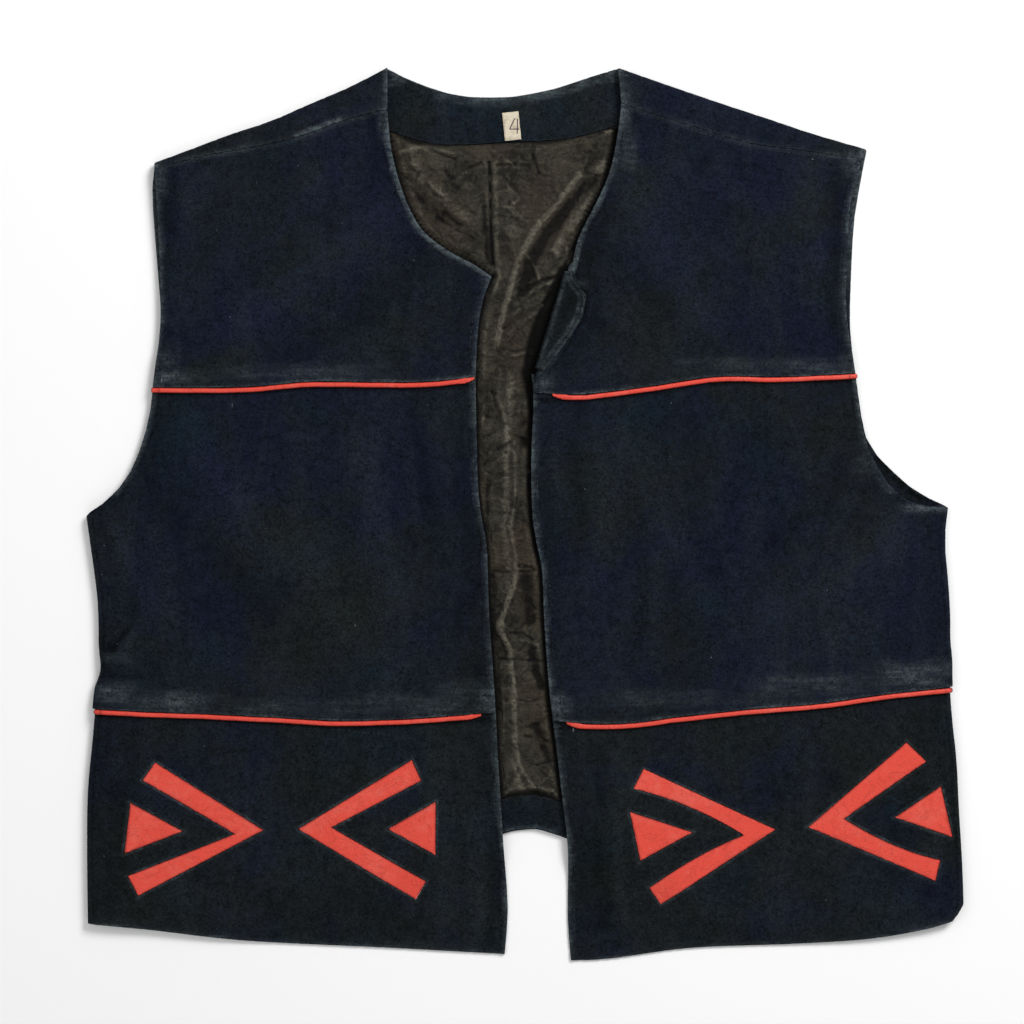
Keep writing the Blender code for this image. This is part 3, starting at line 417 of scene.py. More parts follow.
def makeSatin():
    made, tree, sockets, place = newMaterial("oliveSatin", 0.40, 0.16)
    weave = useGroup(tree, threadWeave, {"Place": place, "Threads": 2600.0})
    cloud = noise(tree, place, 26.0, 4.0, 0.6, 0.8)
    warmth = noise(tree, place, 15.0, 2.0, 0.5)
    crumple = noise(tree, place, 120.0, 5.0, 0.65, 1.4)
    fine = noise(tree, place, 560.0, 3.0, 0.75)
    # Painted highlight on the satin's ridges and painted shade in its hollows, from the painted shading on
    # the points, and a painted shadow beside the fronts' raised edges, from the shade on the points
    paintedShading = readPoint(tree, "paintedShading")
    body = timesPlus(tree, crumple, 1.1, timesPlus(tree, cloud, 0.8, -0.45))
    base = mixColour(tree, between(tree, body, 0.24, 0.72), inks["oliveDark"], inks["olive"])
    warm = mixColour(tree, times(tree, between(tree, warmth, 0.46, 0.60), 0.55), base, inks["russet"])
    glint = times(tree, between(tree, paintedShading, 0.08, 0.9), between(tree, crumple, 0.25, 0.60))
    lit = mixColour(tree, times(tree, glint, 0.85), warm, inks["oliveHighlight"])
    dim = calc(tree, "SUBTRACT", 1.0, times(tree, between(tree, paintedShading, -0.02, -0.7), 0.85))
    outsidePaintedShadow = calc(tree, "SUBTRACT", 1.0, readPoint(tree, "shade"))
    grained = timesPlus(tree, weave["Slubs"], 1.0, timesPlus(tree, fine, 2.4, -0.68))
    weaveAndPaintedShade = times(tree, calc(tree, "MAXIMUM", grained, 0.2), times(tree, dim, outsidePaintedShadow))
    tree.links.new(darkenBy(tree, lit, weaveAndPaintedShade), sockets["Base Color"])
    shine = timesPlus(tree, fine, 0.25, 0.26)
    tree.links.new(mixValue(tree, outsidePaintedShadow, 0.95, shine), sockets["Roughness"])
    height = calc(tree, "ADD", times(tree, weave["Height"], 0.06), times(tree, crumple, 3.0))
    bumpInto(tree, sockets, height, 0.0011, 0.9)
    return made


def makeTape():
    made, tree, sockets, place = newMaterial("creamTape", 0.85, 0.25)
    weave = useGroup(tree, threadWeave, {"Place": place, "Threads": 900.0})
    soil = noise(tree, place, 240.0, 4.0, 0.65)
    rim = useGroup(tree, rubbedWear, {"Place": place, "Wear": readPoint(tree, "wear"), "Amount": 0.8})
    base = mixColour(tree, between(tree, soil, 0.42, 0.75), inks["cream"], inks["creamDull"])
    ribs = timesPlus(tree, weave["Slubs"], 0.3, 0.86)
    woven = darkenBy(tree, base, ribs)
    tree.links.new(mixColour(tree, rim["Mask"], woven, inks["creamDull"]), sockets["Base Color"])
    tree.links.new(timesPlus(tree, soil, 0.2, 0.72), sockets["Roughness"])
    bumpInto(tree, sockets, weave["Height"], 0.00015, 0.6)
    return made


def makeThread(name, ink, paler):
    made, tree, sockets, place = newMaterial(name, 0.8, 0.2)
    twist = noise(tree, place, 2400.0, 2.0, 0.6)
    faded = noise(tree, place, 55.0, 3.0, 0.6)
    dusty = timesPlus(tree, twist, 0.3, faded)
    share = times(tree, between(tree, dusty, 0.62, 0.90), 0.8)
    tree.links.new(mixColour(tree, share, ink, paler), sockets["Base Color"])
    tree.links.new(timesPlus(tree, twist, 0.2, 0.7), sockets["Roughness"])
    bumpInto(tree, sockets, twist, 0.0001, 0.6)
    return made


# Where stitches run, in millimetres from a cut edge
seams = {
    "edgeRow": 3.7,
    "lapRows": (1.9, 8.0),
    "shoulderRow": 1.8,
    "pitch": 3.2,
    "stitchLong": 2.1,
    "threadThick": 0.36,
    "clearOfEnds": 0.6,
    "dip": 0.25,
    "raised": 0.12,
    "lean": 0.04,
    "seekFrom": 1.2,
}

# How a CAD wall becomes a soft cloth: mesh sizes, how far corners and edges are rounded
clothMaking = {
    "mergeWithin": 0.004,
    "cutEdgeAngle": 50,
    "edgeInset": 0.42,
    "edgeDrop": 0.10,
    "cornerAngle": 32,
    "roundTurns": 26,
    "steepBelow": 0.86,
    "roundBy": 0.5,
    "roundBack": -0.53,
    "gapReach": 24.0,
    "cutEdgeWear": 0.35,
}


def tagSides(bm):
    # The sheet that faces up most is 0, the other one 1, and the cut edge all round 2
    limit = math.radians(clothMaking["cutEdgeAngle"])
    bm.normal_update()
    bm.faces.index_update()
    groupOf, sizes = {}, []
    for seed in bm.faces:
        if seed.index in groupOf:
            continue
        groupOf[seed.index] = len(sizes)
        stack, area, upward = [seed], 0.0, 0.0
        while stack:
            face = stack.pop()
            here = face.calc_area()
            area += here
            upward += here * face.normal.z
            for edge in face.edges:
                if len(edge.link_faces) == 2 and edge.calc_face_angle() < limit:
                    for other in edge.link_faces:
                        if other.index not in groupOf:
                            groupOf[other.index] = len(sizes)
                            stack.append(other)
        sizes.append((area, upward))
    sheets = sorted(range(len(sizes)), key=lambda k: -sizes[k][0])[:2]
    top = max(sheets, key=lambda k: sizes[k][1])
    for face in bm.faces:
        group = groupOf[face.index]
        face.material_index = 0 if group == top else 1 if group in sheets else 2


def edgeSides(edge):
    return {face.material_index for face in edge.link_faces}


def splitLong(bm, stepAt):
    for _ in range(7):
        tooLong = []
        for edge in bm.edges:
            middle = (edge.verts[0].co + edge.verts[1].co) / 2 / mm
            if edge.calc_length() / mm > stepAt(middle, edgeSides(edge)):
                tooLong.append(edge)
        if not tooLong:
            return
        bmesh.ops.subdivide_edges(bm, edges=tooLong, cuts=1)
        bmesh.ops.triangulate(bm, faces=[face for face in bm.faces if len(face.verts) > 3])


def meanOfNeighbours(points, pairs):
    total = np.zeros_like(points)
    count = np.zeros(len(points))
    for here, there in ((0, 1), (1, 0)):
        count += np.bincount(pairs[:, here], minlength=len(points))
        for axis in range(3):
            total[:, axis] += np.bincount(
                pairs[:, here], weights=points[pairs[:, there], axis], minlength=len(points)
            )
    return total / np.maximum(count, 1)[:, None], count


def walkLoops(pairs):
    nextTo = {}
    for one, two in pairs.tolist():
        nextTo.setdefault(one, []).append(two)
        nextTo.setdefault(two, []).append(one)
    loops, seen = [], set()
    for start in nextTo:
        if start in seen:
            continue
        loop = [start]
        seen.add(start)
        while True:
            ahead = [v for v in nextTo[loop[-1]] if v not in seen]
            if not ahead:
                break
            loop.append(ahead[0])
            seen.add(ahead[0])
        loops.append(loop)
    return sorted(loops, key=len, reverse=True)


def loopCorners(points, loop):
    spot = points[loop]
    into = spot - np.roll(spot, 1, axis=0)
    out = np.roll(spot, -1, axis=0) - spot
    into /= np.maximum(np.linalg.norm(into, axis=1), 1e-9)[:, None]
    out /= np.maximum(np.linalg.norm(out, axis=1), 1e-9)[:, None]
    return np.einsum("ij,ij->i", into, out) < math.cos(math.radians(clothMaking["cornerAngle"]))


def creaseRise(creases, points):
    # Soft troughs and ridges: each runs along its own short path, and fades at its ends
    rise = np.zeros(len(points))
    for crease in creases:
        path = np.array(crease["path"], float)
        away = np.full(len(points), 1e9)
        side = np.zeros(len(points))
        for start, end in zip(path, path[1:]):
            run = end - start
            long = np.linalg.norm(run)
            run = run / long
            offset = points[:, :2] - start
            along = np.clip(offset @ run, 0, long)
            rest = offset - along[:, None] * run
            distance = np.linalg.norm(rest, axis=1)
            closer = distance < away
            away = np.where(closer, distance, away)
            side = np.where(closer, run[0] * offset[:, 1] - run[1] * offset[:, 0], side)
        width = crease["width"]
        shape = np.exp(-((away / width) ** 2))
        lean = crease.get("lean", 0.0)  # one flank steeper than the other
        shape = shape * (1 + lean * np.tanh(side / width))
        rise += crease["height"] * shape
    return rise


def crease(height, width, *path, lean=0.0):
    return {"height": height, "width": width, "path": path, "lean": lean}


# The main creases of the wearer's right front, and the small ones by its side seam
rightCreases = [
    crease(0.55, 13, (-84, 196), (-128, 160), (-186, 118)),
    crease(-0.35, 9, (-66, 158), (-104, 128), (-156, 98)),
    crease(0.35, 8, (-206, 214), (-222, 170), (-225, 122)),
    crease(-0.25, 7, (-196, 206), (-210, 160), (-213, 130)),
    crease(0.30, 10, (-120, 224), (-150, 196), (-160, 176)),
    crease(0.50, 12, (-216, 58), (-190, 14), (-158, -32)),
    crease(-0.35, 8, (-238, 12), (-212, -16), (-180, -42)),
    crease(0.45, 6, (-262, -12), (-250, -34), (-238, -62)),
    crease(-0.90, 1.9, (-254.5, -75), (-263, -85), (-271, -95.5)),
    crease(-0.40, 3.2, (-250.5, -56), (-252, -67), (-255, -76)),
    crease(0.55, 3.6, (-247, -70), (-256, -84), (-264, -97)),
    crease(-0.35, 2.4, (-270, -104), (-256, -106), (-244, -104)),
    crease(-0.35, 7, (-72, 70), (-66, 30), (-56, -18)),
    crease(0.45, 11, (-102, 44), (-96, -10), (-82, -62)),
    crease(0.50, 15, (-142, -22), (-118, -64), (-92, -98)),
    crease(-0.30, 6, (-46, -56), (-42, -88), (-36, -118)),
    crease(0.32, 9, (-202, -86), (-172, -104), (-140, -112)),
    crease(-0.35, 8, (-250, -142), (-256, -196), (-264, -246)),
    crease(0.40, 8, (-62, -152), (-56, -206), (-50, -268)),
    crease(-0.30, 8, (-122, -240), (-98, -254), (-70, -268)),
    crease(0.30, 8, (-222, -242), (-190, -254), (-160, -262)),
    crease(0.45, 5, (-30, -196), (-28, -236), (-28, -268)),
]
# The same for the wearer's left front, whose neck corner pulls on the cloth
leftCreases = [
    crease(0.50, 12, (64, 216), (84, 176), (112, 128)),
    crease(-0.35, 8, (44, 172), (62, 150), (92, 132)),
    crease(0.35, 9, (180, 222), (192, 178), (192, 134)),
    crease(-0.30, 7, (196, 206), (201, 160), (200, 124)),
    crease(0.28, 8, (96, 228), (132, 206), (160, 196)),
    crease(-0.35, 6, (30, 138), (44, 122), (66, 108)),
    crease(0.45, 10, (62, 56), (82, 6), (118, -58)),
    crease(-0.40, 5, (76, -28), (75, -56), (73, -84)),
    crease(0.35, 6, (84, -26), (84, -58), (80, -88)),
    crease(0.50, 14, (238, -16), (200, -44), (162, -62)),
    crease(-0.35, 9, (210, 36), (186, 4), (158, -18)),
    crease(0.35, 10, (228, -60), (196, -84), (150, -100)),
    crease(-0.30, 5, (30, 40), (34, -10), (32, -60)),
    crease(0.40, 6, (46, 60), (50, 10), (46, -46)),
    crease(-0.40, 7, (48, -150), (46, -200), (50, -262)),
    crease(0.45, 7, (62, -156), (58, -204), (62, -264)),
    crease(0.30, 9, (102, -244), (142, -258), (186, -262)),
    crease(-0.30, 8, (256, -132), (246, -186), (230, -244)),
    crease(0.35, 9, (264, -210), (252, -236), (236, -256)),
]
# Painted shade on the back, in the gap behind the edge of the wearer's left armhole
backShadeLines = [
    crease(
        -1.5, 2.3, (226.6, 35.8), (233.1, 27.5), (241.3, 20.2), (247.8, 14.5), (254.3, 10.4), (263.3, 7.4)
    ),
]
backCreases = [
    crease(0.25, 10, (-60, 262), (-10, 256), (44, 268)),
    crease(-0.20, 5, (-30, -196), (0, -192), (30, -197)),
]
# The satin's creases: the pleat at the centre, drag lines from the neck, the long ridge between the fronts
liningCreases = [
    crease(-0.60, 1.5, (-60, 233), (-52, 230), (-45, 227.5)),
    crease(-0.55, 1.4, (-40, 220.5), (-34, 222.5), (-28.5, 225)),
    crease(-0.75, 1.3, (-23.3, 225), (-22.6, 200), (-22.0, 176), (-20.6, 158), lean=0.5),
    crease(0.65, 2.2, (-19.2, 224), (-18.4, 198), (-17.8, 174), (-16.6, 152)),
    crease(-0.35, 1.2, (-18, 223.4), (-8, 223.8), (1.5, 223.2)),
    crease(-0.60, 1.4, (5, 230), (7, 224), (9.2, 218.8)),
    crease(0.45, 3.0, (56, 247), (45, 233), (34, 217)),
    crease(-0.45, 1.8, (38, 212), (26, 192), (17, 172)),
    crease(-0.70, 1.5, (18.5, 152), (10, 150), (2, 145.5), lean=0.4),
    crease(0.55, 1.9, (16, 148), (7, 144), (-2, 138)),
    crease(-0.80, 1.7, (20, 142.5), (15, 139), (10.5, 133)),
    crease(-0.60, 3.0, (-2, 142), (-9, 132), (-13.5, 122)),
    crease(0.65, 2.6, (-4, 130), (-12, 124), (-20, 112)),
    crease(0.60, 2.4, (14, 132), (2, 126), (-10, 116)),
    crease(-0.45, 1.2, (-33, 121), (-24, 118), (-14, 119)),
    crease(0.45, 2.0, (-28, 104), (-14, 100), (2, 104), (8, 100)),
    crease(-0.40, 1.3, (-22, 108), (-6, 104), (6, 107)),
    crease(0.35, 1.8, (-66, 216), (-58, 208), (-50, 202)),
    crease(-0.40, 1.5, (-74, 222), (-64, 214), (-58, 204)),
    crease(0.45, 2.4, (-78, 232), (-66, 236), (-52, 236)),
    crease(-0.35, 1.5, (-76, 210), (-70, 206), (-66, 200)),
    crease(0.40, 2.2, (-54, 200), (-44, 190), (-30, 184)),
    crease(-0.40, 1.6, (-56, 190), (-44, 182), (-30, 176)),
    crease(0.35, 2.0, (-60, 224), (-48, 214), (-36, 208)),
    crease(0.30, 1.8, (-40, 172), (-30, 168), (-24, 160)),
    crease(-0.30, 1.3, (-12, 214), (-4, 206), (4, 204)),
    crease(0.30, 1.8, (-12, 196), (0, 188), (8, 188)),
    # between the fronts, from the neck down to the upper piping
    crease(-0.45, 1.8, (-21, 78), (-24, 64), (-27, 50)),
    crease(0.55, 2.2, (-16, 92), (-17, 74), (-13, 60), (-10, 42)),
    crease(-0.50, 2.0, (3, 64), (-4, 54), (-9, 52), (2, 46)),
    crease(0.35, 1.8, (6, 80), (2, 72), (-4, 66)),
    crease(-0.50, 1.3, (-28, 30), (-18, 41), (-10, 46)),
    crease(0.40, 1.8, (-26, 26), (-16, 36), (-8, 40)),
    crease(0.75, 2.0, (-6, 46), (-6.5, 24), (-6.0, 8), (-9.0, -8), (-5.5, -30), (-6, -43), (-13.4, -63)),
    crease(
        0.80, 1.9, (-13.4, -63), (-17, -73), (-10.5, -84), (-7.8, -101), (-6.4, -125), (-6.4, -146),
        (-2.9, -161), (4.5, -174),
    ),
    crease(-0.50, 1.5, (3, 26), (7, 12), (11, -2)),
    crease(-0.55, 2.6, (6, -6), (8, -18), (8, -28)),
    crease(-0.35, 1.1, (-28, -34.5), (-14, -37), (6, -36)),
    crease(-0.60, 1.4, (-3.8, -33), (4, -34), (11, -36.5)),
    crease(-0.45, 1.4, (4.5, -59), (9, -61), (13, -63)),
    crease(-0.50, 1.2, (-9, -76), (-2, -76), (4.5, -80)),
    crease(0.40, 1.6, (-8, -80), (0, -81), (8, -84)),
    crease(-0.40, 1.1, (-17, -92.5), (-4, -93), (11.5, -94)),
    crease(-0.40, 2.4, (2, -98), (8, -104), (14, -108)),
    crease(0.35, 1.6, (-14, -112), (-14, -132), (-15, -150)),
    crease(-0.35, 1.1, (-8, -118), (2, -120), (12, -117)),
    crease(-0.55, 1.3, (0, -142), (8, -143.5), (17, -146)),
    crease(-0.35, 1.2, (-2.5, -159), (8, -160), (19.8, -158)),
    crease(-0.45, 1.6, (10, -164), (14, -169), (19.6, -175)),
    crease(0.40, 1.7, (-2, -164), (-8, -172), (-9, -180)),
]


# The satin's broad soft folds, which are also painted in as light and dark bands
satinFolds = [
    crease(0.55, 4.2, (-9.5, 87), (-12.2, 34), (-11.3, -27), (-6.4, -38), (-16.0, -70)),
    crease(0.60, 3.8, (-16.0, -70), (-9.3, -89), (-6.4, -156), (-3.4, -175)),
    crease(-0.70, 4.5, (3, 58), (0.5, 46)),
    crease(-0.70, 3.4, (4.4, 22), (6.5, 4), (8.3, -22)),
    crease(-0.75, 5.5, (0.5, -40), (4.4, -67)),
    crease(-0.80, 3.8, (4.4, -89), (10.3, -109)),
    crease(-0.65, 4.0, (7.3, -136), (15.2, -156)),
    crease(-0.55, 3.6, (-21, -38), (-20, -66)),
    crease(-0.45, 3.4, (-24, 20), (-25, -8)),
    crease(-0.50, 3.6, (-17, -104), (-18, -124)),
    crease(0.90, 2.6, (34.5, 216), (19.7, 197), (5.9, 181), (-4.7, 160), (-12.2, 134), (-18, 108), lean=-0.4),
    crease(-1.00, 4.4, (44, 214), (28, 197), (13.3, 179), (2.5, 160), (-1.6, 142), lean=0.3),
    crease(0.55, 5.0, (48.3, 223), (34.5, 195), (19.7, 169)),
    crease(0.35, 11.0, (-8, 214), (-7, 180)),
    crease(0.40, 4.5, (-72, 232), (-66, 214)),
    crease(-0.55, 4.0, (-50, 218), (-44, 210)),
    crease(0.40, 4.5, (-57, 210), (-40, 190)),
    crease(-0.50, 3.6, (-50, 192), (-42, 186)),
    crease(-0.60, 2.6, (-26, 196), (-23, 160)),
    crease(-0.40, 5.0, (-66, 202), (-56, 190)),
]
liningCreases += satinFolds


# Crumpled facets of the satin, and the shapes of its small creases, whose numbers are drawn at random
crumpling = {
    "box": (-104, -196, 78, 246),
    "layers": (
        {"spacing": 14.0, "height": 2.3, "seed": 3},
        {"spacing": 7.0, "height": 1.1, "seed": 4},
        {"spacing": 3.6, "height": 0.30, "seed": 9},
    ),
    "creaseScale": 2.0,
    # how strongly the satin's relief and its broad folds are turned into painted shading
    "paintedShadingPerMm": 1.5,
    "foldPaintedShading": 0.85,
    "uneven": 0.42,
    "evenTurns": 9,
    "clearFrom": 0.8,
    "clearOfEdges": 5.0,
    "coverReach": 22.0,
    "turn": (0.9, 0.7),
    "longShare": (0.35, 1.0),
    "bend": 0.5,
    "rise": 0.6,
    "width": (0.9, 2.2),
}


def smallCrumples(seed, count, box, longest, height):
    # Short creases of every size, for the crumpled look of thin satin
    chance = np.random.default_rng(seed)
    made = []
    for _ in range(count):
        across = chance.uniform(box[0], box[2])
        up = chance.uniform(box[1], box[3])
        turn = chance.normal(*crumpling["turn"])
        long = longest * chance.uniform(*crumpling["longShare"])
        bend = chance.normal(0, crumpling["bend"])
        middle = (across + math.cos(turn) * long / 2, up - math.sin(turn) * long / 2)
        end = (middle[0] + math.cos(turn + bend) * long / 2, middle[1] - math.sin(turn + bend) * long / 2)
        rise = height * chance.normal(0, crumpling["rise"])
        made.append(crease(rise, chance.uniform(*crumpling["width"]), (across, up), middle, end))
    return made


liningCreases += smallCrumples(11, 46, (-80, 150, 45, 236), 20, 0.22)
liningCreases += smallCrumples(12, 60, (-30, -178, 22, 150), 18, 0.22)


def facetHeights(points, layer):
    # A field of flat facets between corners at uneven heights, read off below every point
    chance = np.random.default_rng(layer["seed"])
    low, high = crumpling["box"][:2], crumpling["box"][2:]
    step = layer["spacing"]
    corners = []
    for across in np.arange(low[0] - step, high[0] + 2 * step, step):
        for up in np.arange(low[1] - step, high[1] + 2 * step, step):
            shift = chance.uniform(-crumpling["uneven"], crumpling["uneven"], 2) * step
            corners.append(Vector((across + shift[0], up + shift[1])))
    spots, _, faces, _, _, _ = delaunay_2d_cdt(corners, [], [], 0, 1e-6)
    heights = chance.uniform(0, layer["height"], len(spots))
    field = BVHTree.FromPolygons([(*spot, height) for spot, height in zip(spots, heights)], faces)
    found = np.zeros(len(points))
    inBox = np.all((points[:, :2] > low) & (points[:, :2] < high), axis=1)
    for index in np.flatnonzero(inBox):
        hit = field.ray_cast(Vector((points[index, 0], points[index, 1], 50.0)), Vector((0, 0, -1)))
        found[index] = hit[0].z if hit[0] else 0.0
    return found


# Places where the nap is rubbed pale: middle, reach across and up, and how strong
spotPower = 3.5
spotColumns = ("at", "reach", "strength")
wornSpots = [dict(zip(spotColumns, row)) for row in (
    ((-263, -114), (14, 6.5), 0.78),
    ((-226, -120), (30, 6), 0.42),
    ((-150, -124), (62, 6), 0.22),
    ((-70, -122), (40, 7), 0.26),
    ((-262, -92), (10, 3), 0.30),
    ((250, -102), (23, 8), 0.42),
    ((190, -109), (48, 7), 0.22),
    ((110, -118), (60, 6), 0.18),
    ((-222, 88), (22, 5), 0.36),
    ((-150, 91), (56, 5), 0.22),
    ((-228, 102), (8, 9), 0.22),
    ((-24, -120), (9, 9), 0.50),
    ((-42, -114), (16, 8), 0.24),
    ((20, -124), (9, 9), 0.55),
    ((12, 84), (7, 8), 0.40),
    ((160, 95), (60, 5), 0.24),
    ((62, 262), (5, 18), 0.50),
    ((66, 232), (5, 12), 0.35),
    ((-90, 256), (4, 14), 0.45),
    ((-235, 214), (6, 10), 0.45),
    ((212, 224), (8, 8), 0.40),
    ((206, 97), (7, 5), 0.40),
    ((224, 34), (14, 10), 0.30),
    ((256, 4), (15, 3), 0.42),
    ((-23, 151), (5, 4), 0.55),
    ((37, 147), (3, 3), 0.30),
    ((10, -204), (26, 4), 0.35),
)]
shoulderSpots = [
    spot for spot in wornSpots
    if (abs(spot["at"][0]) > 200 or spot["at"][1] > 240) and not 0 < spot["at"][1] < 60
]


def spotWear(points, spots):
    wear = np.zeros(len(points))
    for spot in spots:
        across = np.abs((points[:, 0] - spot["at"][0]) / spot["reach"][0])
        up = np.abs((points[:, 1] - spot["at"][1]) / spot["reach"][1])
        wear = np.maximum(wear, spot["strength"] * np.exp(-(across**spotPower) - up**spotPower))
    return wear


def nearestGaps(samples, points, farthest):
    gaps = np.full(len(points), farthest)
    if not len(samples):
        return gaps
    tree = kdtree.KDTree(len(samples))
    for index, sample in enumerate(samples):
        tree.insert(sample, index)
    tree.balance()
    low, high = samples.min(axis=0) - farthest, samples.max(axis=0) + farthest
    near = np.all((points > low) & (points < high), axis=1)
    for index in np.flatnonzero(near):
        gaps[index] = min(farthest, tree.find(points[index])[2])
    return gaps


def denseLine(points, loop, wanted):
    # Samples under a millimetre apart along the loop's edges whose ends are both wanted
    found = []
    closed = loop + loop[:1]
    for one, two in zip(closed, closed[1:]):
        if one in wanted and two in wanted:
            steps = max(1, int(np.linalg.norm(points[two] - points[one]) / 0.8))
            for step in range(steps):
                found.append(points[one] + (points[two] - points[one]) * step / steps)
    return np.array(found) if found else np.zeros((0, 3))


# The rows where the side seams' reach is read, and how creases fade before the roll
sideRoll = {"rows": (-262, 2, 6.0), "rowReach": 9, "far": 60.0, "fadeFrom": 3.5, "fadeOver": 9.0}
sideReach = {}


def readSides():
    # How far the side seams reach, from the CAD walls, so that creases fade before the roll
    for word, outward in (("right", -1), ("left", 1)):
        spots = []
        for part in ("middle", "lower"):
            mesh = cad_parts[f"{word}_front_{part}"].data
            spots += [v.co.to_tuple() for v in mesh.vertices]
        spots = np.array(spots) / mm
        rows = np.arange(*sideRoll["rows"])
        edge = [np.max(spots[np.abs(spots[:, 1] - row) < sideRoll["rowReach"], 0] * outward) for row in rows]
        sideReach[outward] = (rows, np.array(edge))


def sideFade(points):
    outward = np.where(points[:, 0] < 0, -1, 1)
    gap = np.full(len(points), sideRoll["far"])
    for side in (-1, 1):
        rows, edge = sideReach[side]
        here = (outward == side) & (points[:, 1] < rows[-1] + 3)
        reach = np.interp(points[:, 1], rows, edge)
        gap = np.where(here, reach - points[:, 0] * side, gap)
    return smoothStep((gap - sideRoll["fadeFrom"]) / sideRoll["fadeOver"])


readSides()


def outwardKind(direction, inwardSide):
    # inwardSide is the across direction that points to the front opening
    across = direction[0] * inwardSide
    if across > 0.30:
        return "opening"
    if direction[1] > 0.70:
        return "top"
    if direction[1] < -0.70:
        return "bottom"
    return "side"


# How each kind of edge is rubbed: right at the edge, and over the band between it and its stitches
wearRules = {
    "neck": {"edge": 0.46, "edgeWide": 0.9, "band": 0.52, "bandWide": 2.8},
    "opening": {"edge": 0.40, "edgeWide": 0.7, "band": 0.19, "bandWide": 2.8},
    "armhole": {"edge": 0.42, "edgeWide": 0.9, "band": 0.14, "bandWide": 2.8},
    "seam": {"edge": 0.10, "edgeWide": 1.0, "band": 0.03, "bandWide": 3.0},
    "lap": {"edge": 0.40, "edgeWide": 0.6, "band": 0.13, "bandWide": 2.0},
    "hem": {"edge": 0.34, "edgeWide": 0.9, "band": 0.05, "bandWide": 4.5},
    "shoulder": {"edge": 0.20, "edgeWide": 0.7, "band": 0.06, "bandWide": 2.2},
    "window": {"edge": 0.34, "edgeWide": 0.35, "band": 0.03, "bandWide": 0.8},
    "backNeck": {"edge": 0.32, "edgeWide": 1.8, "band": 0.36, "bandWide": 4.8},
    "armpit": {"edge": 0.36, "edgeWide": 0.6, "band": 0.05, "bandWide": 3.0, "second": 0.46},
    "turned": {"edge": 0.40, "edgeWide": 0.9, "band": 0.08, "bandWide": 3.8, "second": 0.42},
}


# Where those kinds change along the edges, in millimetres up, and the second worn line inside an edge
wearZones = {
    "neckFrom": 138, "neckFade": 22, "armholeFrom": -4, "armholeFade": 14, "armpit": 15, "armpitReach": 17,
    "secondAt": 3.4, "secondWide": 0.8, "bandFade": 0.9,
}


def ruleWear(rule, gap):
    edge = rule["edge"] * np.exp(-gap / rule["edgeWide"])
    second = np.exp(-(((gap - wearZones["secondAt"]) / wearZones["secondWide"]) ** 2))
    edge = edge + rule.get("second", 0.0) * second
    return edge + rule["band"] * (1 - smoothStep((gap - rule["bandWide"]) / wearZones["bandFade"]))


# Painted shade: in the crook below a piping, in the grooves of the stitch rows and just inside a stitched
# edge
paintedShadeTones = {
    "crook": 1.1, "crookAt": 4.4, "crookWide": 1.3, "crookReach": 14.0,
    "groove": 3.2, "grooveWide": 0.9, "inside": 0.30, "insideAt": 9.0, "insideWide": 4.5,
}


def pipingShade(points, above):
    # Painted shade: the cloth is darkened in the crook below the piping of the tier above it
    rim = rimLines[above]
    wanted = {vertex for vertex, kind in rim["kinds"].items() if kind == "bottom"}
    lap = denseLine(rim["points"], rim["outer"], wanted)
    gap = nearestGaps(lap * (1, 1, 0), points * (1, 1, 0), paintedShadeTones["crookReach"])
    return -paintedShadeTones["crook"] * np.exp(-(((gap - paintedShadeTones["crookAt"]) / paintedShadeTones["crookWide"]) ** 2))


